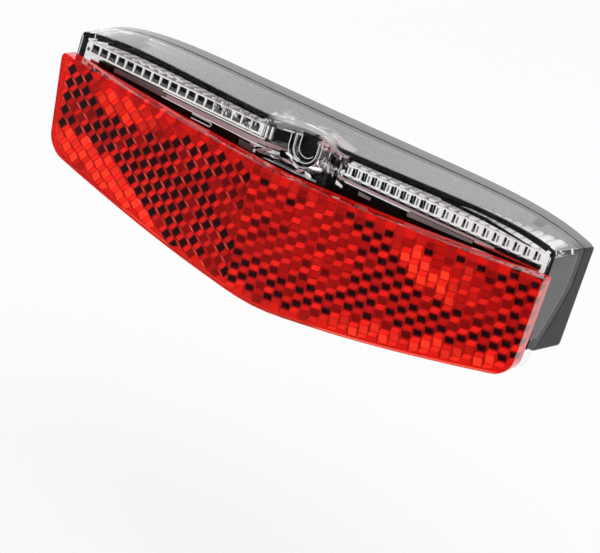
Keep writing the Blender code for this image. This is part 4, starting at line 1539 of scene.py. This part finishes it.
@dataclass
class Carrier:
    """The black inner frame: a shroud under the cover's top and a lining behind its front."""

    shroud_gap: float = 0.00012
    shroud_thickness: float = 0.0004
    shroud_back_y: float = -0.0043
    shroud_spans: tuple[tuple[float, float], ...] = ((-0.0455, -0.0092), (0.0092, 0.0445))
    shroud_sections: int = 24
    end_recess: float = 0.0045
    end_start_x: float = 0.028
    lining_gap: float = 0.00025
    lining_thickness: float = 0.0005
    lining_half_width: float = 0.0485
    lining_sections: int = 121
    lining_top_z: float = 0.0050
    lining_lift: float = 0.0030
    niche_depth: float = 0.0015
    niche_left: tuple[float, float] = (-0.0104, -0.0096)
    niche_right: tuple[float, float] = (0.0050, 0.0042)

    def under_top(self, x: float, y: float) -> float:
        """Height just under the cover's top wall."""
        return FORM.top_z(x, y) - FORM.side_wall - self.shroud_gap

    def shroud_section(self, x: float) -> Section:
        """The section of the plate under the cover's top, set back towards the right end.

        Args:
            x: The place across, in metres.

        Returns:
            Four points of (y, z).
        """
        front = FORM.behind_front(x, HIGH_Z, self.lining_gap)
        front += self.end_recess * smooth_step(self.end_start_x, self.shroud_spans[1][1], x)
        back, thick = self.shroud_back_y, self.shroud_thickness
        at_front, at_back = self.under_top(x, front), self.under_top(x, back)
        return [(front, at_front), (back, at_back), (back, at_back - thick), (front, at_front - thick)]

    def lining_section(self, x: float) -> Section:
        """The section of the panel behind the cover's front, set back in a niche under the notch.

        Args:
            x: The place across, in metres.

        Returns:
            Four points of (y, z).
        """
        gap = FORM.front_wall + self.lining_gap
        gap += self.niche_depth * smooth_step(*self.niche_left, x) * smooth_step(*self.niche_right, x)
        low = FORM.red_bottom(x) + self.lining_lift
        return wall_section(x, low, self.lining_top_z, gap, gap + self.lining_thickness)

    def build(self) -> None:
        """Builds the shroud and the lining."""
        bm = bmesh.new()
        for start, end in self.shroud_spans:
            add_sweep(bm, spaced(start, end, self.shroud_sections), self.shroud_section)
        close_piece("carrier_shroud", bm, BLACK_INSIDE)
        bm = bmesh.new()
        places = spaced(-self.lining_half_width, self.lining_half_width, self.lining_sections)
        add_sweep(bm, places, self.lining_section)
        close_piece("carrier_lining", bm, BLACK_INSIDE)


class RowTree(ShapeTree):
    """Blocks in a bowed row."""

    name = "bowed_row"
    inputs = {
        "Count": 10,
        "Start X": 0.0,
        "Pitch": 0.002,
        "Front Y": 0.0,
        "Bow": 0.0,
        "Centre Z": 0.0,
        "Size": (0.001, 0.001, 0.001),
        "Lean": 0.0,
        "Slant": 0.0,
    }

    @classmethod
    def shape(cls, kit: NodeKit, given: Outputs) -> Socket:
        """Wires the row.

        Args:
            kit: A kit for the tree.
            given: The tree's inputs, by name.

        Returns:
            The geometry.
        """
        start = kit.combine(given["Start X"], given["Front Y"], given["Centre Z"])
        ends = {"Count": given["Count"], "Start Location": start, "Offset": kit.combine(given["Pitch"])}
        line = kit.node("GeometryNodeMeshLine", ends, mode="OFFSET")
        x = kit.split(kit.node("GeometryNodeInputPosition"))[0]
        shift = kit.combine(0.0, kit.product(x, x, given["Bow"]))
        bowed = kit.node("GeometryNodeSetPosition", {"Geometry": line, "Offset": shift})
        block = kit.node("GeometryNodeMeshCube", {"Size": given["Size"]})
        turn = kit.combine(given["Lean"], 0.0, given["Slant"])
        spread = {"Points": bowed, "Instance": block, "Rotation": turn}
        return kit.node("GeometryNodeInstanceOnPoints", spread)


@dataclass(frozen=True)
class Bar:
    """A bar along a light guide: its heights, and its distances behind the guide's front edge."""

    low: float
    high: float
    near: float
    far: float


@dataclass(frozen=True)
class Row:
    """A row of blocks along a light guide.

    Behind is its place behind the guide's front edge, shift moves it outwards, and share is the part of
    the guide's length that it takes from the inner end.
    """

    name: str
    finish: Finish
    size: Point
    behind: float
    centre_z: float
    shift: float = 0.0
    share: float = 1.0
    lean: float = 0.0
    slant: float = 0.0


@dataclass(frozen=True)
class LightGuide:
    """One clear light guide: ledge, cells between posts, top plate with cross ribs, and its dark back.

    The first post's place is how far it lies inside the guide's outer end.
    """

    side: Side
    outer_x: float
    pitch: float
    first_post: float
    post_width: float
    rib_width: float
    rib_slant: float
    extra_rows: tuple[Row, ...] = ()
    inner_x: float = 0.0092
    sections: int = 21
    front_gap: float = 0.0005
    cell_low: float = 0.0066
    cell_high: float = 0.0082
    cell_depth: float = 0.0004
    rib_z: float = 0.0086
    rib_height: float = 0.0004
    rib_share: float = 0.9
    facet_z: float = 0.00685
    facet_size: tuple[float, float] = (0.0003, 0.0006)
    facet_lean: float = -0.6
    facet_share: float = 0.98
    facet_behind: float = 0.0003
    ledge: Bar = Bar(0.0063, 0.0066, -0.0002, 0.0010)
    lip: Bar = Bar(0.0082, 0.0084, 0.0, 0.0005)
    back: Bar = Bar(0.0064, 0.0083, 0.0005, 0.0009)
    plate: Bar = Bar(0.0082, 0.0085, 0.0001, 0.0066)

    def add_bar(self, bm: bmesh.types.BMesh, bar: Bar) -> None:
        """Adds a bar along the guide.

        Args:
            bm: The mesh being built.
            bar: The bar's heights and depths.
        """

        def section(x: float) -> Section:
            """The bar's section.

            Args:
                x: The place across, in metres.

            Returns:
                Four points of (y, z).
            """
            front = FORM.behind_front(x, HIGH_Z, self.front_gap)
            near, far = front + bar.near, front + bar.far
            return [(near, bar.low), (near, bar.high), (far, bar.high), (far, bar.low)]

        places = spaced(self.inner_x, self.outer_x, self.sections)
        add_sweep(bm, sorted(self.side.value * x for x in places), section)

    def bars(self, name: str, finish: Finish, bars: Iterable[Bar], *nodes: str) -> None:
        """Builds one piece of bars that stands for CAD nodes, if any are named.

        Args:
            name: The piece's name, without its side.
            finish: Its finish.
            bars: Its bars.
            nodes: CAD nodes that it stands for.
        """
        bm = bmesh.new()
        for bar in bars:
            self.add_bar(bm, bar)
        close_piece(f"{name}_{self.side.word}", bm, finish, nodes)

    def row(self, row: Row) -> None:
        """Sets a row of blocks along the guide.

        Args:
            row: The row.
        """
        count = int((self.outer_x - self.inner_x - self.first_post) / self.pitch) + 1
        start = self.outer_x - self.first_post + row.shift - self.pitch * (count - 1)
        values = {
            "Count": round(count * row.share),
            "Start X": self.side.value * start,
            "Pitch": self.side.value * self.pitch,
            "Front Y": FORM.behind_front(0.0, HIGH_Z, self.front_gap) + row.behind,
            "Bow": FORM.bow,
            "Centre Z": row.centre_z,
            "Size": row.size,
            "Lean": row.lean,
            "Slant": row.slant,
        }
        finish_piece(RowTree.bake(row.name, row.finish, values))

    def build(self) -> None:
        """Builds the guide's pieces."""
        word = self.side.word
        self.bars("guide_body", CLEAR_GUIDE, (self.ledge, self.lip), f"light_guide_{word}")
        middle, high = (self.cell_low + self.cell_high) / 2, self.cell_high - self.cell_low
        post = (self.post_width, self.cell_depth, high)
        self.row(Row(f"guide_posts_{word}", CLEAR_GUIDE, post, self.cell_depth / 2, middle))
        rib = (self.rib_width, self.plate.far * self.rib_share, self.rib_height)
        behind = self.plate.far / 2
        self.row(Row(f"guide_ribs_{word}", CLEAR_GUIDE, rib, behind, self.rib_z, slant=self.rib_slant))
        facet = (self.pitch * self.facet_share, *self.facet_size)
        name = f"guide_facets_{word}"
        self.row(Row(name, GUIDE_SHADE, facet, self.facet_behind, self.facet_z, lean=self.facet_lean))
        for row in self.extra_rows:
            self.row(row)
        self.bars("guide_back", BLACK_INSIDE, [self.back])
        self.bars("guide_plate", GUIDE_TOP, [self.plate])


GUIDES = (
    LightGuide(
        Side.LEFT,
        outer_x=0.0494,
        pitch=0.00209,
        first_post=0.0002,
        post_width=0.0003,
        rib_width=0.0004,
        rib_slant=-0.35,
    ),
    LightGuide(
        Side.RIGHT,
        outer_x=0.0492,
        pitch=0.0020,
        first_post=0.0010,
        post_width=0.00142,
        rib_width=0.0011,
        rib_slant=0.0,
        extra_rows=(
            Row("guide_bars_grey", FROST_GREY, (0.0003, 0.0001, 0.0012), -0.0001, 0.0074, -0.00025),
            Row("guide_bars_dark", GLOSS_BLACK, (0.0005, 0.0001, 0.0014), -0.0001, 0.0074, 0.0006, 0.45),
            Row("guide_teeth", FROST_GREY, (0.0007, 0.0001, 0.0003), -0.0003, 0.0063, 0.0004),
        ),
    ),
)


def add_tube(bm: bmesh.types.BMesh, path: Sequence[Point], radius: float, sides: int = 10) -> None:
    """Adds a closed tube along a path that lies about upright, across the light.

    Args:
        bm: The mesh being built.
        path: Points along the tube's middle.
        radius: Its radius.
        sides: How many faces it has round.
    """
    rings = []
    turns = [2 * math.pi * k / sides for k in range(sides)]
    for i, point in enumerate(path):
        along = (Vector(path[min(i + 1, len(path) - 1)]) - Vector(path[max(i - 1, 0)])).normalized()
        side = along.cross(Vector((0, 1, 0))).normalized()
        other = along.cross(side)
        ring = [Vector(point) + radius * (math.cos(a) * side + math.sin(a) * other) for a in turns]
        rings.append([bm.verts.new(place) for place in ring])
    join_rings(bm, rings)


STRIP_SECTIONS = 12


@dataclass(frozen=True)
class Strip:
    """A thin moulded form behind the window, in millimetres, with its own heights at each end."""

    name: str
    finish: Finish
    start_x: float
    end_x: float
    start_z: tuple[float, float]
    end_z: tuple[float, float]
    near: float = 0.1
    far: float = 0.3

    def section(self, x: float) -> Section:
        """The strip's section, behind the cover's front wall.

        Args:
            x: The place across, in metres.

        Returns:
            Four points of (y, z).
        """
        share = (x / MM - self.start_x) / (self.end_x - self.start_x)
        low, high = ((a + (b - a) * share) * MM for a, b in zip(self.start_z, self.end_z))
        wall = FORM.front_wall + FORM.notch_depth(x, low)
        return wall_section(x, low, high, wall + self.near * MM, wall + self.far * MM)

    def build(self) -> None:
        """Builds the strip."""
        bm = bmesh.new()
        add_sweep(bm, spaced(self.start_x * MM, self.end_x * MM, STRIP_SECTIONS), self.section)
        close_piece(self.name, bm, self.finish)


class ShardTree(ShapeTree):
    """Faceted crystals scattered in a box, the same way each time."""

    name = "crystal_scatter"
    inputs = {
        "Count": 20,
        "Low": (0.0, 0.0, 0.0),
        "High": (0.001, 0.001, 0.001),
        "Size": 0.0005,
        "Pull": (1.0, 1.0, 1.0),
        "Seed": 1,
    }
    turn = 0.5
    smallest = 0.6
    largest = 1.4

    @classmethod
    def shape(cls, kit: NodeKit, given: Outputs) -> Socket:
        """Wires the scatter.

        Args:
            kit: A kit for the tree.
            given: The tree's inputs, by name.

        Returns:
            The geometry.
        """
        seed = {"Seed": given["Seed"]}
        chance = "FunctionNodeRandomValue"
        box = {"Min": given["Low"], "Max": given["High"]}
        place = kit.node(chance, box | seed, data_type="FLOAT_VECTOR")
        points = kit.node("GeometryNodePoints", {"Count": given["Count"], "Position": place})
        angles = {"Min": (-cls.turn,) * 3, "Max": (cls.turn,) * 3}
        turn = kit.node(chance, angles | seed, data_type="FLOAT_VECTOR")
        grow = kit.add(chance, data_type="FLOAT")
        for key, value in ({2: cls.smallest, 3: cls.largest} | seed).items():
            kit.put(value, grow.inputs[key])
        shard = kit.node("GeometryNodeMeshIcoSphere", {"Radius": given["Size"], "Subdivisions": 1})
        pulled = kit.transform(shard, Scale=given["Pull"])
        spread = {"Points": points, "Instance": pulled, "Rotation": turn, "Scale": grow.outputs[1]}
        return kit.node("GeometryNodeInstanceOnPoints", spread)


@dataclass(frozen=True)
class Box:
    """A box between two corners."""

    low: Point
    high: Point


@dataclass(frozen=True)
class Cluster:
    """A cluster of crystals in a box, each pulled out of round by the same three factors."""

    name: str
    finish: Finish
    count: int
    size: float
    pull: Point
    seed: int
    box: Box

    def build(self) -> None:
        """Scatters the crystals."""
        values = {
            "Count": self.count,
            "Low": self.box.low,
            "High": self.box.high,
            "Size": self.size,
            "Pull": self.pull,
            "Seed": self.seed,
        }
        finish_piece(ShardTree.bake(self.name, self.finish, values))


ARCH_STEPS = 12


@dataclass(frozen=True)
class Arch:
    """A bright rim round the collar: an upright U, in millimetres."""

    half_width: float
    low_z: float
    y: float
    radius: float
    top_z: float = 9.3

    def path(self) -> list[Point]:
        """The rim's path, in metres.

        Returns:
            Points from the left end down, round and up to the right end.
        """
        middle_z = self.low_z + self.half_width
        turns = [math.pi + math.pi * i / ARCH_STEPS for i in range(ARCH_STEPS + 1)]
        bend = [(self.half_width * math.cos(a), middle_z + self.half_width * math.sin(a)) for a in turns]
        ends = ((-self.half_width, self.top_z), (self.half_width, self.top_z))
        return [(x * MM, self.y * MM, z * MM) for x, z in (ends[0], *bend, ends[1])]


BESIDE_LEFT = Box((-0.0092, -0.0122, 0.0056), (-0.0066, -0.0112, 0.0086))
BESIDE_RIGHT = Box((0.0030, -0.0122, 0.0042), (0.0085, -0.0112, 0.0086))
UNDER = Box((-0.0092, -0.0129, 0.0032), (0.0036, -0.0119, 0.0050))
INNER_LEFT = Box((-0.0200, -0.0128, 0.0064), (-0.0095, -0.0122, 0.0086))
UNDER_TOP = Box((0.0020, -0.0128, 0.0088), (0.0070, -0.0116, 0.0098))
TALL = (0.7, 0.5, 1.6)
WIDE = (2.2, 0.5, 0.45)


@dataclass(frozen=True)
class WindowDetail:
    """What shows behind the window beside and below the guides: strips, rims, the rod and the crystals."""

    strips: tuple[Strip, ...] = (
        Strip("corner_black_left", GLOSS_BLACK, -46.4, -43.0, (5.0, 6.0), (5.0, 6.0), 0.1, 0.5),
        Strip("brown_strip_left", FROST_BROWN, -42.6, -30.0, (5.3, 5.9), (4.9, 6.1), 0.1, 0.4),
        Strip("pink_strip_left", FROST_PINK, -30.0, -9.0, (5.0, 6.1), (4.7, 6.0), 0.1, 0.4),
        Strip("line_left_upper", FROST_WHITE, -31.0, -8.0, (6.02, 6.16), (5.95, 6.10), 0.05, 0.3),
        Strip("line_left_middle", GLOSS_BLACK, -31.0, -9.0, (5.80, 5.94), (5.70, 5.84), 0.04, 0.09),
        Strip("line_left_lower", FROST_WHITE, -31.0, -8.0, (4.95, 5.07), (4.45, 4.60), 0.05, 0.5),
        Strip("panel_left", FROST_PINK, -17.8, -8.2, (3.7, 4.8), (3.4, 4.5), 0.27, 0.5),
        Strip("component_black", GLOSS_BLACK, -17.0, -13.3, (3.2, 4.7), (3.0, 4.6), 0.05, 0.22),
        Strip("component_dark", GUIDE_SHADE, -12.8, -9.6, (3.0, 4.2), (2.9, 4.0), 0.05, 0.22),
        Strip("post_white", FROST_WHITE, -9.4, -9.1, (3.0, 4.3), (3.0, 4.3), 0.02, 0.22),
        Strip("wedge_pink", FROST_PINK, -8.9, -2.9, (5.0, 5.8), (4.6, 5.2), 0.1, 0.3),
        Strip("wedge_line", GLOSS_BLACK, -8.9, -3.0, (4.80, 5.00), (4.30, 4.40), 0.05, 0.2),
        Strip("wedge_white", FROST_WHITE, -8.9, -2.5, (4.0, 4.75), (3.6, 4.2), 0.1, 0.3),
        Strip("wedge_grey", FROST_GREY, -8.4, -1.0, (3.3, 3.9), (3.1, 3.5), 0.1, 0.3),
        # Painted light: grey and pink strips under the notch's top that lighten the dark band there and give
        # its pink glints.
        Strip("notch_highlight_left", FROST_GREY, -7.0, -0.9, (9.15, 9.4), (9.15, 9.4), 0.05, 4.0),
        Strip("notch_highlight_right", FROST_PINK, 0.9, 8.8, (9.15, 9.4), (9.15, 9.4), 0.05, 4.5),
        Strip("end_block_right", FROST_WHITE, 48.95, 49.5, (5.2, 9.1), (5.2, 9.0), 0.05, 0.9),
        Strip("lamp_shade_left", GLOSS_BLACK, -6.8, -3.0, (6.5, 8.6), (6.5, 8.4), 0.05, 0.2),
        Strip("lamp_shade_right", GLOSS_BLACK, 5.2, 8.0, (6.9, 8.4), (6.9, 8.3), 0.05, 0.2),
        Strip("tooth_left_a", FROST_WHITE, -8.95, -8.65, (6.3, 8.6), (6.3, 8.6), 0.03, 0.3),
        Strip("tooth_left_b", FROST_WHITE, -8.15, -7.90, (6.3, 8.6), (6.3, 8.6), 0.03, 0.3),
        Strip("tooth_left_c", FROST_WHITE, -7.35, -7.15, (6.3, 8.6), (6.3, 8.6), 0.03, 0.3),
        Strip("lamp_frame_left", FROST_WHITE, -5.6, -2.6, (8.7, 8.9), (8.7, 8.9), 0.03, 0.2),
        Strip("lamp_frame_side", FROST_WHITE, -2.95, -2.6, (5.6, 8.8), (5.6, 8.8), 0.03, 0.2),
        Strip("floor_pink", FROST_PINK, -12.0, -7.4, (1.0, 1.6), (1.0, 1.6), 0.05, 1.6),
        Strip("floor_white", FROST_WHITE, -7.4, 3.4, (1.0, 1.6), (1.0, 1.6), 0.05, 1.6),
        Strip("floor_line", GLOSS_BLACK, -7.0, 0.5, (1.60, 1.64), (1.60, 1.64), 0.9, 1.15),
        Strip("pink_strip_right", FROST_PINK, 3.0, 40.0, (5.35, 5.80), (5.50, 5.85), 0.1, 0.4),
        Strip("grey_strip_right", FROST_GREY, 23.0, 36.0, (4.4, 5.2), (4.8, 5.3), 0.05, 0.25),
        Strip("glint_right_a", FROST_WHITE, 8.2, 9.6, (4.2, 4.9), (4.0, 4.4), 0.05, 0.25),
        Strip("glint_right_b", FROST_GREY, 13.0, 15.5, (4.1, 4.8), (4.1, 4.6), 0.05, 0.25),
        Strip("band_right", GLOSS_BLACK, 28.0, 37.0, (9.6, 10.0), (9.3, 9.9), 0.15, 0.5),
        Strip("band_right_tip", GLOSS_BLACK, 37.0, 46.0, (9.3, 9.9), (8.55, 8.62), 0.15, 0.5),
        Strip("streak_left_a", FROST_WHITE, -38.0, -36.6, (9.05, 9.25), (8.75, 8.95), 0.35, 0.6),
        Strip("streak_left_b", FROST_WHITE, -36.0, -34.4, (9.15, 9.35), (8.80, 9.00), 0.35, 0.6),
        Strip("streak_left_c", FROST_WHITE, -33.8, -32.2, (9.20, 9.40), (8.85, 9.05), 0.35, 0.6),
        Strip("streak_left_d", FROST_WHITE, -31.6, -30.0, (9.25, 9.45), (8.90, 9.10), 0.35, 0.6),
        Strip("streak_left_e", FROST_WHITE, -29.4, -27.6, (9.25, 9.45), (8.90, 9.10), 0.35, 0.6),
    )
    clusters: tuple[Cluster, ...] = (
        Cluster("crystals_left", CRYSTAL, 9, 0.0007, TALL, 3, BESIDE_LEFT),
        Cluster("crystals_right", CRYSTAL, 34, 0.0007, TALL, 4, BESIDE_RIGHT),
        Cluster("crystals_white", FROST_WHITE, 16, 0.0004, TALL, 6, BESIDE_RIGHT),
        Cluster("crystals_under_crystal", CRYSTAL, 10, 0.0006, WIDE, 11, UNDER),
        Cluster("crystals_under_frost_white", FROST_WHITE, 7, 0.0006, WIDE, 12, UNDER),
        Cluster("crystals_under_frost_pink", FROST_PINK, 5, 0.0006, WIDE, 13, UNDER),
        Cluster("crystals_under_gloss_black", GLOSS_BLACK, 6, 0.0006, WIDE, 14, UNDER),
        Cluster("crystals_inner_left", CRYSTAL, 40, 0.0005, (0.5, 0.5, 1.7), 21, INNER_LEFT),
        Cluster("crystals_inner_white", FROST_WHITE, 12, 0.0003, (0.5, 0.4, 1.6), 22, INNER_LEFT),
        Cluster("crystals_top", FROST_PINK, 14, 0.0004, (1.4, 0.6, 0.6), 8, UNDER_TOP),
    )
    arches: tuple[Arch, ...] = (
        Arch(2.45, 4.7, -12.2, 0.09),
        Arch(3.3, 3.9, -12.6, 0.07),
        Arch(1.75, 5.5, -11.4, 0.07),
    )
    rod_ends_x: tuple[float, float] = (-0.0237, -0.0197)
    rod_upper_z: tuple[float, float] = (0.00455, 0.00445)
    rod_lower_z: tuple[float, float] = (0.00375, 0.00365)
    rod_bend_z: float = 0.00405
    rod_bend: float = 0.0004
    rod_turns: tuple[float, ...] = (0.5, 1.2, 1.9, 2.6)
    rod_radius: float = 0.00012
    rod_gap: float = 0.0002
    # Painted shade: a black box behind the collar stands for the dark hollow inside it.
    cup: Box = Box((-0.0021, -0.0106, 0.0048), (0.0021, -0.0102, 0.0096))

    def rod_path(self) -> list[Point]:
        """The path of the rod: in along a line, round a bend and back out below it.

        Returns:
            Points along it.
        """
        y = FORM.behind_front(-0.02, 0.004, self.rod_gap)
        outer, inner = self.rod_ends_x
        path = [(outer, y, self.rod_upper_z[0]), (inner, y, self.rod_upper_z[1])]
        for a in self.rod_turns:
            z = self.rod_bend_z + self.rod_bend * math.cos(a)
            path.append((inner + self.rod_bend * math.sin(a), y, z))
        return path + [(inner, y, self.rod_lower_z[1]), (outer, y, self.rod_lower_z[0])]

    def build(self) -> None:
        """Builds every detail."""
        for strip in self.strips:
            strip.build()
        bm = bmesh.new()
        for arch in self.arches:
            add_tube(bm, arch.path(), arch.radius * MM)
        add_tube(bm, self.rod_path(), self.rod_radius)
        close_piece("bright_rims", bm, RIM_BRIGHT)
        # Painted shade: the black box behind the collar.
        bm = bmesh.new()
        corners = list(zip(self.cup.low, self.cup.high))
        made = bmesh.ops.create_cube(bm, size=1.0)["verts"]
        bmesh.ops.scale(bm, vec=[b - a for a, b in corners], verts=made)
        bmesh.ops.translate(bm, vec=[(a + b) / 2 for a, b in corners], verts=made)
        close_piece("collar_shade_box", bm, GLOSS_BLACK)
        for cluster in self.clusters:
            cluster.build()


LOOKS = {
    "circuit_board": BOARD_DARK,
    "centre_lamp": LAMP_WHITE,
    "side_lamp_left": LAMP_WHITE,
    "side_lamp_right": LAMP_WHITE,
    "standlight_capacitor": SLEEVE,
    "bridge_rectifier": CHIP_BLACK,
    "regulator": CHIP_BLACK,
    "resistor_left": CHIP_BLACK,
    "resistor_right": CHIP_BLACK,
    "guide_tray": BRIGHT_TRAY,
    "terminal_block": TERMINAL_BLACK,
    "contact_clip_left": BRASS,
    "contact_clip_right": BRASS,
}


def dress_node(node: str, finish: Finish) -> None:
    """Gives a CAD node that is shown as it is its finish.

    Args:
        node: The CAD node.
        finish: Its finish.
    """
    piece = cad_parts[node]
    if not piece.material_slots:
        piece.data.materials.append(None)
    for slot in piece.material_slots:
        slot.material = finish.build()
    LOG.info("%s: dressed as %s", node, finish.name)


class ThreadTree(ShapeTree):
    """A thread wound round a rod: a spiral swept with a four-sided profile."""

    name = "wound_thread"
    inputs = {"Radius": 0.002, "Length": 0.01, "Turns": 10.0, "Ridge": 0.0004, "Place": (0.0, 0.0, 0.0)}
    steps_per_turn = 24
    ridge_sides = 4

    @classmethod
    def shape(cls, kit: NodeKit, given: Outputs) -> Socket:
        """Wires the thread.

        Args:
            kit: A kit for the tree.
            given: The tree's inputs, by name.

        Returns:
            The geometry.
        """
        winding = {
            "Resolution": cls.steps_per_turn,
            "Rotations": given["Turns"],
            "Start Radius": given["Radius"],
            "End Radius": given["Radius"],
            "Height": given["Length"],
        }
        spiral = kit.node("GeometryNodeCurveSpiral", winding)
        edge = {"Resolution": cls.ridge_sides, "Radius": given["Ridge"]}
        profile = kit.node("GeometryNodeCurvePrimitiveCircle", edge, mode="RADIUS")
        curves = {"Curve": spiral, "Profile Curve": profile, "Fill Caps": True}
        swept = kit.node("GeometryNodeCurveToMesh", curves)
        return kit.transform(swept, Rotation=(math.radians(-90), 0.0, 0.0), Translation=given["Place"])


@dataclass
class Fastener:
    """A captive bolt with its thread, and the flange nut on it."""

    side: Side
    thread_start: float = 0.0010
    thread_end: float = 0.0096
    radius: float = 0.00235
    ridge: float = 0.0003
    turns: float = 11.0

    def build(self) -> None:
        """Dresses the bolt and the nut and winds the thread."""
        word, body = self.side.word, self.side.bolt_body
        low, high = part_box(f"mounting_bolt_{word}")
        Shell(f"mounting_bolt_{word}", f"bolt_blank_{word}", ZINC, "zinc_plate", body).build()
        Shell(f"flange_nut_{word}", f"nut_blank_{word}", ZINC, "zinc_plate", body).build()
        values = {
            "Radius": self.radius,
            "Length": self.thread_end - self.thread_start,
            "Turns": self.turns,
            "Ridge": self.ridge,
            "Place": ((low.x + high.x) / 2, self.thread_start, 0.0),
        }
        finish_piece(ThreadTree.bake(f"bolt_thread_{word}", ZINC, values), body=body)


@dataclass
class Studio:
    """The floor, the world, the key light and the camera."""

    floor_z: float = -0.09
    floor_half: float = 4.0
    floor_white: float = 0.99
    floor_roughness: float = 0.9
    world_dim: float = 0.97
    lamp_size: float = 0.6
    lamp_watts: float = 0.5
    lamp_place: Point = (0.35, -0.35, 0.7)
    focal_px: float = 2184.1
    image_width: int = 600
    sensor_width_mm: float = 36.0
    clip_start: float = 0.01
    camera_place: Point = (0.16944, -0.34358, 0.11225)
    right: Point = (0.81294, 0.50855, 0.28371)
    down: Point = (0.40619, -0.14609, -0.90203)
    forward: Point = (-0.41729, 0.84855, -0.32533)

    def floor(self) -> None:
        """Lays a plain pale floor."""
        bm = bmesh.new()
        bmesh.ops.create_grid(bm, x_segments=1, y_segments=1, size=self.floor_half)
        bmesh.ops.translate(bm, vec=(0, 0, self.floor_z), verts=bm.verts)
        mesh = bpy.data.meshes.new("studio_floor")
        bm.to_mesh(mesh)
        bm.free()
        look = bpy.data.materials.new("floor_paper")
        look.use_nodes = True
        into = look.node_tree.nodes["Principled BSDF"].inputs
        into["Base Color"].default_value = (self.floor_white, self.floor_white, self.floor_white, 1.0)
        into["Roughness"].default_value = self.floor_roughness
        into["Specular IOR Level"].default_value = 0.0
        mesh.materials.append(look)
        linked("studio_floor", mesh)

    def world(self) -> None:
        """Makes a soft white world, plain to the camera and in reflections."""
        made = bpy.data.worlds.new("soft_white")
        bpy.context.scene.world = made
        made.use_nodes = True
        kit = NodeKit(made.node_tree)
        into = made.node_tree.nodes["Background"].inputs
        into["Color"].default_value = (1.0, 1.0, 1.0, 1.0)
        path = kit.add("ShaderNodeLightPath").outputs
        seen = kit.math("ADD", path["Is Camera Ray"], path["Is Glossy Ray"])
        seen = kit.math("ADD", seen, path["Is Transmission Ray"], clamp=True)
        kit.put(kit.span(seen, 0.0, 1.0, self.world_dim, 1.0), into["Strength"])

    def key_light(self) -> None:
        """Hangs one large soft lamp above and to the right."""
        data = bpy.data.lights.new("soft_key", "AREA")
        data.shape = "SQUARE"
        data.size = self.lamp_size
        data.energy = self.lamp_watts
        made = linked("soft_key", data)
        made.location = self.lamp_place
        made.rotation_euler = (-Vector(made.location)).to_track_quat("-Z", "Y").to_euler()

    def camera(self) -> None:
        """Places the camera at the photograph's viewing angle."""
        data = bpy.data.cameras.new("photo_view")
        data.sensor_width = self.sensor_width_mm
        data.lens = self.focal_px * data.sensor_width / self.image_width
        data.clip_start = self.clip_start
        made = linked("photo_view", data)
        axes = Matrix((self.right, [-c for c in self.down], [-c for c in self.forward])).transposed()
        made.matrix_world = Matrix.Translation(self.camera_place) @ axes.to_4x4()
        bpy.context.scene.camera = made

    def build(self) -> None:
        """Builds the studio."""
        self.camera()
        self.floor()
        self.world()
        self.key_light()
        bpy.context.scene.view_settings.view_transform = "Standard"


def write_sizes() -> None:
    """Updates the view layer.
    """
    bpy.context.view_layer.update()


def main() -> None:
    """Builds the light and its studio in order."""
    logging.basicConfig(level=logging.INFO, format="%(message)s")
    Studio().build()
    for piece in (*SHELLS, Reflector(), Carrier(), *GUIDES, WindowDetail()):
        piece.build()
    for node, finish in LOOKS.items():
        dress_node(node, finish)
    for side in Side:
        Fastener(side).build()
    write_sizes()


if __name__ == "__main__":
    main()
